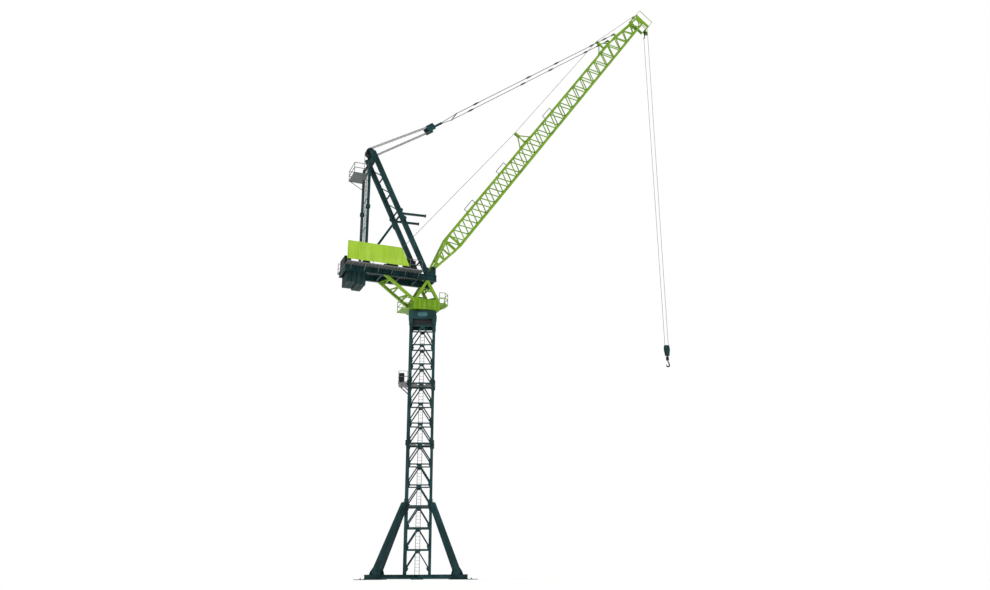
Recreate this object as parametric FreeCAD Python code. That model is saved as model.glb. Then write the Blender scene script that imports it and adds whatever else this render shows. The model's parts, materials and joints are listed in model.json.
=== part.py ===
import FreeCAD, Part
import math
import os

# Luffing-jib tower crane, a 1:2 scale model.
# Frame: origin on the ground under the mast axis, +Z up, +X along the jib, +Y to the crane's left side.
# "near" is the -Y side, "far" is the +Y side.  M is one metre of the real crane, in model millimetres.
M = 500.0

# ---- clearances ----
RUN = 0.05                      # between faces that turn or slide on each other
FREE = 10.0                     # between moving pieces that pass each other
SEAT = 0.05                     # between slanting faces that rest on each other

# ---- cross base ----
FOOT_RADIUS = 5.20 * M          # mast axis to a strut foot, along the cross
ARM_END = 6.05 * M
ARM_W = 0.50 * M
ARM_H = 0.38 * M
PLATE_T = 0.05 * M
PLATE_W = 1.10 * M
ANCHOR_RADIUS = 6.65 * M        # anchor bolt circle
ANCHOR_HOLE_R = 0.03 * M
STRUT_W = 0.38 * M
STRUT_TOP = 6.60 * M            # height where the knee struts meet the mast legs
STRUT_COLLAR_H = 0.80 * M
TIE_W = 0.12 * M

# ---- mast ----
MAST_W = 2.50 * M               # outside the legs
MAST_FOOT = 0.72 * M
BAY = 1.90 * M
BAYS_PER_SECTION = 3
SECTIONS = 4
LEG = 0.26 * M
COLLAR = 0.36 * M
COLLAR_H = 0.50 * M
BRACE = 0.11 * M
MAST_TURN = -19.08              # degrees, the mast's faces against the jib's direction
MAST_TOP = MAST_FOOT + BAY * BAYS_PER_SECTION * SECTIONS
SECTION_H = BAY * BAYS_PER_SECTION

# ---- slewing support, ring and turntable ----
SUPPORT_W = 2.62 * M
NECK_H = 0.62 * M
SUPPORT_H = 0.83 * M
SHAFT_R = 0.45 * M              # climbing way
RING_R = 1.18 * M
RING_BORE = 1.00 * M
RING_H = 0.12 * M
TURNTABLE_W = 2.60 * M
TURNTABLE_H = 1.05 * M
SUPPORT_TOP = MAST_TOP + NECK_H + SUPPORT_H
TURNTABLE_Z = SUPPORT_TOP + RING_H + FREE
TURNTABLE_TOP = TURNTABLE_Z + TURNTABLE_H

# ---- slewing tower and rear struts, in green ----
TOWER_H = 1.95 * M
TOWER_LEG = 0.26 * M
TOWER_SPREAD = 1.12 * M
REAR_STRUT_X = -4.20 * M
DECK_Z = TURNTABLE_TOP + TOWER_H

# ---- deck ----
DECK_REAR = -8.30 * M
DECK_FRONT = 0.95 * M
GIRDER_Y = 1.15 * M
TOWER_Y = GIRDER_Y
GIRDER_W = 0.30 * M
GIRDER_H = 0.62 * M
FLANGE_T = 0.05 * M
FLOOR_T = 0.05 * M
WALK_W = 0.75 * M
DECK_TOP = DECK_Z + GIRDER_H
RAIL_H = 1.10 * M
RAIL = 0.05 * M
PANEL_H = 1.80 * M
PANEL_T = 0.05 * M
WEIGHT_H = 1.05 * M
WEIGHT_W = 2 * GIRDER_Y - 0.10 * M
WEIGHT_T = 0.42 * M
WEIGHTS = 4

# ---- A-frame ----
HEAD_X = -6.05 * M
HEAD_RISE = 12.50 * M           # A-frame head above the deck girders
AFRAME_Y = GIRDER_Y - 0.02 * M
FRONT_LEG = 0.46 * M
FRONT_LEG_W = 0.34 * M
REAR_LEG = 0.24 * M
REAR_LEG_X = -6.30 * M
AFRAME_FOOT_X = 0.00 * M
HEAD_SHEAVE_R = 0.45 * M
HEAD_Z = DECK_TOP + HEAD_RISE
LEAD_X = HEAD_X - HEAD_SHEAVE_R # luffing rope from its winch up to the head
LEAD_Y = 0.30 * M
BACKSTOP_RISE = 6.15 * M
BACKSTOP_END = -0.30 * M

# ---- jib ----
PIVOT_X = 0.60 * M
PIVOT_RISE = 0.68 * M
PIVOT_PIN_R = 0.10 * M
PIVOT_Z = DECK_TOP + PIVOT_RISE
JIB_ANGLE = 54.25               # degrees, chords above level at rest
JIB_Y = 0.74 * M                # chord centres to the jib's middle plane
FOOT_Y = GIRDER_Y - 0.20 * M
CHORD = 0.20 * M
LACING = 0.09 * M
JIB_DEPTH = 1.58 * M            # between chord centres
LOWER_DROP = 0.66 * M           # lower chord under the pivot, square to the jib
ROOT_LENGTH = 4.25 * M          # pivot to the end of the foot section
JIB_BAY = 1.71 * M
JIB_BAYS = 24
TAPER_BAYS = 3
TIP_DEPTH = 0.95 * M
HEAD_ABOVE = 0.65 * M           # jib head frame, over and under the pivot line
HEAD_BELOW = 1.54 * M
POST_1 = 20.05 * M              # rope posts, from the pivot along the jib
POST_2 = 38.45 * M
POST_1_H = 1.50 * M
POST_2_H = 1.15 * M
LUG_AT = 40.55 * M              # pendant lugs, from the pivot along the jib
LUG_RISE = 0.32 * M

# ---- ropes, blocks and hook ----
ROPE_R = 0.022 * M
SHEAVE_T = 0.09 * M
DRUM_X = -3.45 * M
DRUM_R = 0.42 * M
DRUM_RISE = 0.85 * M
BLOCK_X = 0.25 * M
BLOCK_Z_RISE = 16.83 * M        # floating block above the deck girders
BLOCK_R = 0.28 * M
PENDANT_R = 0.035 * M
TAIL_L = 1.75 * M
TIP_SHEAVE_R = 0.30 * M
TIP_SHEAVE_BACK = 0.15 * M      # tip sheave behind the jib's end, and under the pivot line
TIP_SHEAVE_BELOW = 1.81 * M
HOOK_DROP = 40.85 * M           # tip sheave to hook-block sheave
HOOK_SHEAVE_R = 0.22 * M
ROPE_STOP = 0.75 * M            # the moving rope ends this far before the lower rope post


def V(x, y, z):
    return FreeCAD.Vector(x, y, z)


def box(x0, x1, y0, y1, z0, z1):
    return Part.makeBox(x1 - x0, y1 - y0, z1 - z0, V(x0, y0, z0))


def slab(size, z0, z1):
    return box(-size / 2, size / 2, -size / 2, size / 2, z0, z1)


def bar(a, b, width, height, side=None):
    """Rectangular bar from a to b; width is along side (default +Y), height square to both."""
    along = b.sub(a)
    shape = Part.makeBox(along.Length, width, height, V(0, -width / 2, -height / 2))
    across = side or V(0, 1, 0)
    turn = FreeCAD.Rotation(along, across, V(0, 0, 0), "XYZ")
    shape.Placement = FreeCAD.Placement(a, turn)
    return shape


def rod(a, b, radius):
    along = b.sub(a)
    return Part.makeCylinder(radius, along.Length, a, along)


def disc(x, z, radius, y0, y1):
    return Part.makeCylinder(radius, y1 - y0, V(x, y0, z), V(0, 1, 0))


def fuse(shapes):
    return shapes[0].multiFuse(shapes[1:]).removeSplitter()


def several(shapes):
    return Part.makeCompound(shapes)


def turned(shape, degrees=MAST_TURN):
    shape.rotate(V(0, 0, 0), V(0, 0, 1), degrees)
    return shape


def mirrored(shape):
    return shape.mirror(V(0, 0, 0), V(0, 1, 0))


def save(node, shape):
    shape.exportStep("parts/%s.step" % node)


# ---------------------------------------------------------------- base and mast
def base_arm(start, end):
    """One girder of the cross, along +X before it is turned to its diagonal."""
    z0, z1 = PLATE_T, PLATE_T + ARM_H
    web = box(start, end, -ARM_W / 2 + FLANGE_T, ARM_W / 2 - FLANGE_T, z0, z1)
    flanges = [
        box(start, end, -ARM_W / 2, ARM_W / 2, z0, z0 + FLANGE_T),
        box(start, end, -ARM_W / 2, ARM_W / 2, z1 - FLANGE_T, z1),
    ]
    return fuse([web] + flanges)


def make_base():
    save("base_girder_long", turned(base_arm(-ARM_END, ARM_END), 45 + MAST_TURN))
    save("base_girders_short", several([turned(base_arm(ARM_W / 2, ARM_END), angle + MAST_TURN)
                                        for angle in (-45, 135)]))
    plates = [turned(slab(PLATE_W, 0, PLATE_T))]
    outer = ANCHOR_RADIUS + PLATE_W / 4
    for k in range(4):
        pad = box(FOOT_RADIUS - PLATE_W / 2, outer, -PLATE_W / 2, PLATE_W / 2, 0, PLATE_T)
        hole = Part.makeCylinder(ANCHOR_HOLE_R, 3 * PLATE_T, V(ANCHOR_RADIUS, 0, -PLATE_T))
        plates.append(turned(pad.cut(hole), 45 + 90 * k + MAST_TURN))
    save("base_plates", several(plates))
    corner = FOOT_RADIUS / math.sqrt(2)
    inset = ARM_W / math.sqrt(2) + TIE_W / 2
    ties = []
    for k in range(4):
        tie = box(-corner + inset, corner - inset, -corner - TIE_W / 2, -corner + TIE_W / 2,
                  PLATE_T, PLATE_T + TIE_W)
        ties.append(turned(tie, 90 * k + MAST_TURN))
    save("base_ties", several(ties))


def make_knee_struts():
    """Struts from the ends of the cross up to collars on the mast legs."""
    arm_top = PLATE_T + ARM_H
    leg_radius = (MAST_W - LEG) / 2 * math.sqrt(2)
    reach = leg_radius + COLLAR / math.sqrt(2)
    struts = []
    for k in range(4):
        foot = V(FOOT_RADIUS, 0, arm_top)
        head = V(reach, 0, STRUT_TOP)
        strut = bar(foot, head, STRUT_W, STRUT_W)
        room = box(reach, FOOT_RADIUS + STRUT_W, -STRUT_W, STRUT_W, arm_top, STRUT_TOP + STRUT_W)
        struts.append(turned(strut.common(room), 45 + 90 * k + MAST_TURN))
    save("knee_struts", several(struts))


def leg_box(width, z0, z1, sx, sy):
    centre = (MAST_W - LEG) / 2
    return box(sx * centre - width / 2, sx * centre + width / 2,
               sy * centre - width / 2, sy * centre + width / 2, z0, z1)


def leg_collars(sx, sy):
    """Sleeves round a mast leg: at each section joint, and where a knee strut meets it."""
    sleeves = [leg_box(COLLAR, STRUT_TOP - STRUT_COLLAR_H / 2, STRUT_TOP + STRUT_COLLAR_H / 2, sx, sy)]
    for k in range(1, SECTIONS):
        joint = MAST_FOOT + k * SECTION_H
        sleeves.append(leg_box(COLLAR, joint - COLLAR_H / 2, joint + COLLAR_H / 2, sx, sy))
    return sleeves


def mast_leg(sx, sy):
    return fuse([leg_box(LEG, PLATE_T + ARM_H, MAST_TOP, sx, sy)] + leg_collars(sx, sy))


def mast_face():
    """K-bracing of one flat side: level bars, with a pair of diagonals under each."""
    y = -(MAST_W - LEG) / 2
    half = MAST_W / 2
    bars = []
    for k in range(BAYS_PER_SECTION * SECTIONS):
        low = MAST_FOOT + k * BAY + BRACE
        high = MAST_FOOT + (k + 1) * BAY - BRACE / 2
        bars.append(bar(V(-half, y, high), V(half, y, high), BRACE, BRACE))
        for side in (-1, 1):
            bars.append(bar(V(side * (half - LEG / 2), y, low), V(0, y, high), BRACE, BRACE))
    clear = MAST_W / 2 - LEG
    room = box(-clear, clear, y - BRACE, y + BRACE, MAST_FOOT, MAST_TOP)
    lattice = fuse(bars).common(room)
    for sleeve in leg_collars(-1, -1) + leg_collars(1, -1):
        lattice = lattice.cut(sleeve)
    return lattice


def make_mast():
    corners = [(1, 1), (-1, 1), (-1, -1), (1, -1)]
    save("mast_legs", several([turned(mast_leg(sx, sy)) for sx, sy in corners]))
    save("mast_lattice", several([turned(mast_face(), 90 * k + MAST_TURN) for k in range(4)]))


def make_mast_access():
    """Rest platforms at the section joints and the ladders between them, inside the mast."""
    size = MAST_W - LEG - BRACE
    hatch_x, hatch_y = 0.40 * M, 0.36 * M
    ladder_w, ladder_y, rung_step = 0.40 * M, 0.30 * M, 0.30 * M
    platforms, ladders = [], []
    for k in range(SECTIONS):
        side = 1 if k % 2 else -1
        floor = MAST_FOOT + k * SECTION_H
        if k:
            plate = slab(size, floor, floor + PLATE_T)
            centre = -side * ladder_y
            plate = plate.cut(box(-hatch_x, hatch_x, centre - hatch_y, centre + hatch_y,
                                  floor - PLATE_T, floor + 2 * PLATE_T))
            for sx in (-1, 1):
                for sy in (-1, 1):
                    plate = plate.cut(leg_box(COLLAR, floor - COLLAR_H, floor + COLLAR_H, sx, sy))
            platforms.append(turned(plate))
        start = floor + PLATE_T if k else PLATE_T + ARM_H
        end = floor + SECTION_H + (0.6 * M if k < SECTIONS - 1 else NECK_H)
        y = side * ladder_y
        rails = [bar(V(s * ladder_w / 2, y, start), V(s * ladder_w / 2, y, end), RAIL, RAIL)
                 for s in (-1, 1)]
        rungs = []
        for n in range(1, int((end - start) / rung_step)):
            z = start + n * rung_step
            rungs.append(bar(V(-ladder_w / 2, y, z), V(ladder_w / 2, y, z), RAIL / 2, RAIL / 2))
        ladders.append(turned(fuse(rails + rungs)))
    platforms.append(mast_side_platform())
    save("mast_platforms", several(platforms))
    save("mast_ladders", several(ladders))


def mast_side_platform():
    """Outside platform behind the mast, with its switch cabinet."""
    level = MAST_FOOT + 3 * SECTION_H
    outer = MAST_W / 2
    half = outer - 0.10 * M
    reach = 0.95 * M
    deck = box(-outer - reach, -outer, -half, half, level, level + PLATE_T)
    for sy in (-1, 1):
        deck = deck.cut(leg_box(COLLAR, level - COLLAR_H, level + COLLAR_H, -1, sy))
    brackets = [bar(V(-outer - 0.8 * reach, y, level), V(-outer, y, level - 0.7 * M), RAIL * 2, RAIL * 2)
                for y in (0.10 * M - half, half - 0.10 * M)]
    room = box(-outer - reach, -outer, -2 * M, 2 * M, level - M, level + PLATE_T)
    cabinet = box(-outer - reach + 0.05 * M, -outer - reach + 0.55 * M, -0.40 * M, 0.40 * M,
                  level + PLATE_T, level + PLATE_T + 1.05 * M)
    save("switch_cabinet", turned(cabinet))
    return turned(fuse([deck] + brackets).common(room))


def make_slewing_support():
    low = MAST_TOP + NECK_H
    posts = [leg_box(COLLAR, MAST_TOP, low, sx, sy) for sx in (-1, 1) for sy in (-1, 1)]
    inner = MAST_W - 2 * LEG
    skirt = slab(MAST_W - LEG, MAST_TOP + 0.08 * M, low).cut(slab(inner, MAST_TOP, low))
    body = slab(SUPPORT_W, low, SUPPORT_TOP)
    shaft = Part.makeCylinder(SHAFT_R, 2 * SUPPORT_H, V(0, 0, low - SUPPORT_H / 2))
    save("slewing_support", turned(fuse([body, skirt] + posts).cut(shaft)))
    ring = Part.makeCylinder(RING_R, RING_H, V(0, 0, SUPPORT_TOP))
    bore = Part.makeCylinder(RING_BORE, RING_H, V(0, 0, SUPPORT_TOP))
    save("slewing_ring", ring.cut(bore))


# ---------------------------------------------------------------- turntable and slewing tower
def make_turntable():
    body = slab(TURNTABLE_W, TURNTABLE_Z, TURNTABLE_TOP)
    spigot = Part.makeCylinder(RING_BORE - RUN, TURNTABLE_Z - SUPPORT_TOP - FREE / 2,
                               V(0, 0, SUPPORT_TOP + FREE / 2))
    shaft = Part.makeCylinder(SHAFT_R, 3 * TURNTABLE_H, V(0, 0, SUPPORT_TOP - TURNTABLE_H))
    ribs = []
    for side in (-1, 1):
        for n in range(-2, 3):
            x = n * TURNTABLE_W / 5
            y0 = side * TURNTABLE_W / 2
            ribs.append(box(x - RAIL / 2, x + RAIL / 2, min(y0, y0 + side * RAIL * 2),
                            max(y0, y0 + side * RAIL * 2), TURNTABLE_Z, TURNTABLE_TOP))
    save("turntable", fuse([body, spigot] + ribs).cut(shaft))


def rail_run(points, height=RAIL_H, size=RAIL):
    """Guard rail over a list of floor points: a post at each, a top rail and a knee rail."""
    pieces = [bar(p, p.add(V(0, 0, height)), size, size) for p in points]
    for level in (height / 2, height - size / 2):
        for a, b in zip(points, points[1:]):
            lift = V(0, 0, level)
            side = V(0, 0, 1)
            pieces.append(bar(a.add(lift), b.add(lift), size, size, side))
    return fuse(pieces)


def rear_platform():
    """Low platform behind the turntable, and its guard rail."""
    level = TURNTABLE_Z
    rear = -TURNTABLE_W / 2
    half = 0.98 * M
    floor = box(rear - 1.10 * M, rear, -half, half, level, level + FLOOR_T)
    edge = RAIL
    top = level + FLOOR_T
    points = [V(rear - edge, -half + edge, top), V(rear - 1.10 * M + edge, -half + edge, top),
              V(rear - 1.10 * M + edge, half - edge, top), V(rear - edge, half - edge, top)]
    return floor, rail_run(points, TURNTABLE_H)


def front_platform():
    """Platform with clipped corners ahead of the turntable, and its guard rail."""
    edge = RAIL
    front = TURNTABLE_W / 2
    level = TURNTABLE_TOP - 0.20 * M
    reach = 1.15 * M
    outline = [V(front, -1.1 * M, 0), V(front + reach * 0.6, -1.1 * M, 0), V(front + reach, -0.55 * M, 0),
               V(front + reach, 0.55 * M, 0), V(front + reach * 0.6, 1.1 * M, 0), V(front, 1.1 * M, 0)]
    face = Part.Face(Part.makePolygon(outline + outline[:1]))
    plate = face.extrude(V(0, 0, FLOOR_T))
    plate.translate(V(0, 0, level))
    knees = [bar(V(front + reach * 0.8, y, level), V(front, y, level - 0.55 * M), RAIL * 2, RAIL * 2)
             for y in (-0.5 * M, 0.5 * M)]
    room = box(front, front + reach, -2 * M, 2 * M, level - M, level + FLOOR_T)
    points = [V(p.x + (edge if n in (0, 5) else -edge), p.y * (1 - edge / (1.1 * M)), level + FLOOR_T)
              for n, p in enumerate(outline)]
    return fuse([plate] + knees).common(room), rail_run(points)


def tower_side():
    """One green side frame: an upturned V under the deck front, with a level tie."""
    apex = V(0, -TOWER_Y, DECK_Z)
    feet = [V(s * TOWER_SPREAD, -TOWER_Y, TURNTABLE_TOP) for s in (-1, 1)]
    low = TURNTABLE_TOP + 0.45 * TOWER_H
    legs = [bar(foot, apex, TOWER_LEG, TOWER_LEG) for foot in feet]
    half = TOWER_SPREAD * 0.55
    tie = bar(V(-half, -TOWER_Y, low), V(half, -TOWER_Y, low), TOWER_LEG * 0.5, TOWER_LEG * 0.5)
    room = box(-2 * TOWER_SPREAD, 2 * TOWER_SPREAD, -TOWER_Y - M, 0, TURNTABLE_TOP, DECK_Z)
    return fuse(legs + [tie]).common(room)


def rear_strut():
    foot = V(-TURNTABLE_W / 2 - 0.05 * M, -TOWER_Y, TURNTABLE_TOP - 0.15 * M)
    head = V(REAR_STRUT_X, -TOWER_Y, DECK_Z)
    room = box(REAR_STRUT_X - M, -TURNTABLE_W / 2, -TOWER_Y - M, 0, TURNTABLE_Z, DECK_Z)
    step = head.sub(foot)
    return bar(foot.sub(step * 0.1), head.add(step * 0.1), TOWER_LEG, TOWER_LEG).common(room)


def cross_ties(low, high, sections, first, width, size):
    """Level ties and one diagonal per bay between two inclined members, near and far."""
    pieces = []
    inner = width - size
    for k in range(sections):
        a = low.add((high.sub(low)) * ((k + first) / sections))
        b = low.add((high.sub(low)) * ((k + first + 0.4) / sections))
        pieces.append(bar(V(a.x, -inner, a.z), V(a.x, inner, a.z), size, size, V(1, 0, 0)))
        pieces.append(bar(V(a.x, -inner, a.z), V(b.x, inner, b.z), size, size, V(1, 0, 0)))
    return fuse(pieces)


def make_slewing_tower():
    side = tower_side()
    save("slewing_tower", several([side, mirrored(side)]))
    strut = rear_strut()
    save("rear_struts", several([strut, mirrored(strut)]))
    inner = TOWER_Y - TOWER_LEG / 2
    room = box(DECK_REAR, 2 * M, -inner, inner, TURNTABLE_TOP - 0.1 * M, DECK_Z)
    foot = V(-TURNTABLE_W / 2 - 0.05 * M, 0, TURNTABLE_TOP - 0.15 * M)
    ties = cross_ties(foot, V(REAR_STRUT_X, 0, DECK_Z), 3, 0.6, TOWER_Y, TOWER_LEG * 0.45)
    behind = box(DECK_REAR, -TURNTABLE_W / 2, -inner, inner, TURNTABLE_Z, DECK_Z)
    legs = [ties.common(behind)]
    for s in (-1, 1):
        legs.append(cross_ties(V(s * TOWER_SPREAD, 0, TURNTABLE_TOP), V(0, 0, DECK_Z), 2, 0.3,
                               TOWER_Y, TOWER_LEG * 0.45).common(room))
    save("tower_ties", several(legs))


# ---------------------------------------------------------------- deck
def make_deck():
    girders = []
    for side in (-1, 1):
        y = side * GIRDER_Y
        web = box(DECK_REAR, DECK_FRONT, y - FLANGE_T / 2, y + FLANGE_T / 2, DECK_Z, DECK_TOP)
        low = box(DECK_REAR, DECK_FRONT, y - GIRDER_W / 2, y + GIRDER_W / 2, DECK_Z, DECK_Z + FLANGE_T)
        top = box(DECK_REAR, DECK_FRONT, y - GIRDER_W / 2, y + GIRDER_W / 2, DECK_TOP - FLANGE_T, DECK_TOP)
        girders.append(fuse([web, low, top]))
    save("deck_girders", several(girders))
    inner = GIRDER_Y - FLANGE_T / 2
    beams = []
    count = 6
    for k in range(count):
        x = DECK_REAR + 0.1 * M + k * (DECK_FRONT - DECK_REAR - 0.2 * M) / (count - 1)
        beams.append(box(x - 0.08 * M, x + 0.08 * M, -inner, inner,
                         DECK_Z + FLANGE_T, DECK_TOP - FLANGE_T))
    save("deck_cross_beams", several(beams))
    clear = GIRDER_Y - GIRDER_W / 2
    floor = box(DECK_REAR, PIVOT_X - 0.9 * M, -clear, clear, DECK_TOP - FLANGE_T, DECK_TOP)
    save("deck_floors", several([floor] + walkways()))


def walkways():
    """Side walkways on brackets from the deck girders."""
    inner = GIRDER_Y + GIRDER_W / 2
    outer = inner + WALK_W
    floors = []
    for side in (-1, 1):
        y0, y1 = sorted((side * inner, side * outer))
        floor = box(DECK_REAR, -0.75 * M, y0, y1, DECK_TOP - FLOOR_T, DECK_TOP)
        brackets = []
        for k in range(6):
            x = DECK_REAR + 0.5 * M + k * 1.35 * M
            brackets.append(bar(V(x, side * (outer - RAIL), DECK_TOP - FLOOR_T),
                                V(x, side * (GIRDER_Y + FLANGE_T / 2), DECK_Z + FLANGE_T),
                                RAIL, RAIL, V(1, 0, 0)))
        y0, y1 = sorted((side * inner, side * 2 * outer))
        room = box(DECK_REAR, 0, y0, y1, DECK_Z, DECK_TOP)
        floors.append(fuse([floor] + brackets).common(room))
    return floors


def make_walkway_side():
    """Guard rails of the platforms, and the panel that covers the near walkway's side."""
    outer = GIRDER_Y + GIRDER_W / 2 + WALK_W
    y = outer - RAIL
    count = 7
    xs = [DECK_REAR + RAIL + k * (-0.80 * M - DECK_REAR - RAIL) / (count - 1) for k in range(count)]
    rails = [rail_run([V(x, y, DECK_TOP) for x in xs]), rail_run([V(x, -y, DECK_TOP) for x in xs])]
    platforms = []
    for floor, rail in (rear_platform(), front_platform(), head_platform()):
        platforms.append(floor)
        rails.append(rail)
    save("access_platforms", several(platforms))
    save("guard_rails", several(rails))
    foot, head = -2.15 * M, -2.95 * M
    x0 = DECK_REAR
    low, high = DECK_TOP + 0.30 * M, DECK_TOP + 0.30 * M + PANEL_H
    outline = [V(x0, -outer - PANEL_T, low), V(foot, -outer - PANEL_T, low),
               V(head, -outer - PANEL_T, high), V(x0, -outer - PANEL_T, high)]
    face = Part.Face(Part.makePolygon(outline + outline[:1]))
    save("side_panel", face.extrude(V(0, PANEL_T + RAIL / 2, 0)))


def make_counterweights():
    blocks = []
    gap = 0.04 * M
    for k in range(WEIGHTS):
        x = DECK_REAR + 0.30 * M + k * (WEIGHT_T + gap)
        drop = WEIGHT_H * (1.0 if k < 2 else 1.15)
        blocks.append(box(x, x + WEIGHT_T, -WEIGHT_W / 2, WEIGHT_W / 2, DECK_Z - drop, DECK_Z))
    save("counterweights", several(blocks))


def make_deck_equipment():
    top = DECK_TOP
    drum_z = top + DRUM_RISE
    cheek = 0.08 * M
    half = 0.62 * M
    cheeks = [box(DRUM_X - 0.55 * M, DRUM_X + 0.55 * M, s * half - cheek / 2, s * half + cheek / 2,
                  top, drum_z + 0.35 * M) for s in (-1, 1)]
    beds = [box(DRUM_X + s * 0.48 * M - 0.05 * M, DRUM_X + s * 0.48 * M + 0.05 * M,
                -half, half, top, top + 0.12 * M) for s in (-1, 1)]
    frame = fuse(cheeks + beds)
    bore = disc(DRUM_X, drum_z, 0.10 * M + RUN, -M, M)
    frame = frame.cut(bore)
    wall = half - cheek / 2 - FREE
    drum = [disc(DRUM_X, drum_z, DRUM_R - ROPE_R, -wall, wall),
            disc(DRUM_X, drum_z, DRUM_R + 0.06 * M, -wall, -wall + 0.05 * M),
            disc(DRUM_X, drum_z, DRUM_R + 0.06 * M, wall - 0.05 * M, wall),
            disc(DRUM_X, drum_z, 0.10 * M, -half - cheek / 2, half + cheek / 2)]
    save("hoist_drum", fuse(drum))
    x = LEAD_X + 0.42 * M
    luffing = fuse([box(x - 0.7 * M, x + 0.7 * M, -0.8 * M, 0.8 * M, top, top + 0.15 * M),
                    disc(x, top + 0.55 * M, 0.42 * M - ROPE_R, -0.62 * M, 0.62 * M),
                    box(x - 0.3 * M, x + 0.3 * M, -0.75 * M, -0.62 * M, top, top + 0.9 * M),
                    box(x - 0.3 * M, x + 0.3 * M, 0.62 * M, 0.75 * M, top, top + 0.9 * M)])
    save("winches", several([frame, luffing]))
    lead = rod(V(LEAD_X, LEAD_Y, top + 0.55 * M), V(LEAD_X, LEAD_Y, HEAD_Z + 0.25 * M), ROPE_R)
    save("luffing_lead_rope", lead)
    save("deck_cabinets", several([
        box(-2.30 * M, -1.75 * M, -0.90 * M, -0.15 * M, top, top + 1.55 * M),
        box(-1.70 * M, -1.15 * M, -0.90 * M, -0.15 * M, top, top + 1.35 * M),
        box(DECK_REAR, DECK_REAR + 0.62 * M, -0.95 * M, 0.95 * M, top, top + 0.95 * M)]))


# ---------------------------------------------------------------- A-frame
def front_leg_point(rise):
    """Point on a front leg's centre line, rise above the deck girders."""
    share = rise / HEAD_RISE
    return V(AFRAME_FOOT_X + (HEAD_X - AFRAME_FOOT_X) * share, 0, DECK_TOP + rise)


def shifted(p, y):
    return V(p.x, y, p.z)


def make_a_frame():
    y = -AFRAME_Y
    foot, head = front_leg_point(0), front_leg_point(HEAD_RISE)
    low = front_leg_point(-0.6 * M)
    above = box(-10 * M, 2 * M, -2 * M, 2 * M, DECK_TOP, HEAD_Z)
    leg = bar(shifted(low, y), shifted(head, y), FRONT_LEG_W, FRONT_LEG).common(above)
    rear_top = HEAD_Z - 1.2 * M
    rear = bar(V(REAR_LEG_X, y, DECK_TOP), V(REAR_LEG_X, y, rear_top), REAR_LEG, REAR_LEG)
    collar = bar(V(REAR_LEG_X, y, DECK_TOP + BACKSTOP_RISE),
                 V(REAR_LEG_X, y, DECK_TOP + BACKSTOP_RISE + 0.35 * M),
                 REAR_LEG * 1.6, REAR_LEG * 1.6)
    link = bar(V(REAR_LEG_X, y, rear_top - REAR_LEG / 2), shifted(front_leg_point(HEAD_RISE - 0.5 * M), y),
               REAR_LEG, REAR_LEG)
    rear = fuse([rear, collar, link]).cut(leg)
    rear = max(rear.Solids, key=lambda s: s.Volume)
    brace = bar(V(REAR_LEG_X + REAR_LEG / 2 - 0.1 * M, y, DECK_TOP + 0.55 * M),
                shifted(front_leg_point(BACKSTOP_RISE - 0.1 * M), y), REAR_LEG * 0.8, REAR_LEG * 0.8)
    brace = brace.cut(leg).cut(rear)
    brace = max(brace.Solids, key=lambda s: s.Volume)
    stop_from = front_leg_point(BACKSTOP_RISE)
    stop = bar(V(stop_from.x, y, stop_from.z), V(BACKSTOP_END, y, stop_from.z + 0.12 * M),
               REAR_LEG * 0.8, REAR_LEG * 0.8)
    pad = bar(V(BACKSTOP_END - 0.06 * M, y, stop_from.z + 0.12 * M),
              V(BACKSTOP_END, y, stop_from.z + 0.12 * M),
              REAR_LEG * 1.2, REAR_LEG * 1.2)
    stop = fuse([stop, pad]).cut(leg).cut(brace)
    stop = max(stop.Solids, key=lambda s: s.Volume)
    pairs = {"a_frame_front_legs": leg, "a_frame_rear_legs": rear, "a_frame_braces": brace,
             "backstops": stop}
    for name, shape in pairs.items():
        save(name, several([shape, mirrored(shape)]))
    ties = []
    inner = AFRAME_Y - FRONT_LEG_W / 2
    rises = [1.4 * M]
    while BACKSTOP_RISE + 0.05 * M + len(rises) * 1.7 * M < HEAD_RISE - 1.1 * M:
        rises.append(BACKSTOP_RISE - 1.35 * M + len(rises) * 1.7 * M)
    for rise in rises:
        a, b = front_leg_point(rise), front_leg_point(rise + 1.4 * M)
        tie = [bar(V(a.x, -inner, a.z), V(a.x, inner, a.z), 0.12 * M, 0.12 * M, V(1, 0, 0))]
        if rise > BACKSTOP_RISE:
            tie.append(bar(V(a.x, -inner, a.z), V(b.x, inner, b.z), 0.08 * M, 0.08 * M, V(1, 0, 0)))
        ties.append(fuse(tie))
    room = box(-10 * M, 2 * M, -inner, inner, DECK_TOP, HEAD_Z)
    save("a_frame_ties", several([tie.common(room) for tie in ties]))
    rails = [bar(V(REAR_LEG_X, s * 0.22 * M, DECK_TOP + 1.15 * M),
                 V(REAR_LEG_X, s * 0.22 * M, HEAD_Z - 1.5 * M),
                 RAIL, RAIL) for s in (-1, 1)]
    rung_count = int((HEAD_RISE - 2.8 * M) / (0.45 * M))
    rungs = [bar(V(REAR_LEG_X, -0.22 * M, DECK_TOP + 1.3 * M + n * 0.45 * M),
                 V(REAR_LEG_X, 0.22 * M, DECK_TOP + 1.3 * M + n * 0.45 * M), RAIL / 2, RAIL / 2, V(0, 0, 1))
             for n in range(rung_count)]
    stay_step = (HEAD_RISE - 3.4 * M) / 3
    stay_heights = [1.3 * M + n * stay_step for n in range(4)]
    stays = [bar(V(REAR_LEG_X, -AFRAME_Y + REAR_LEG / 2, DECK_TOP + h),
                 V(REAR_LEG_X, AFRAME_Y - REAR_LEG / 2, DECK_TOP + h),
                 RAIL, RAIL, V(0, 0, 1)) for h in stay_heights]
    save("a_frame_ladder", fuse(rails + rungs + stays))


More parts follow.
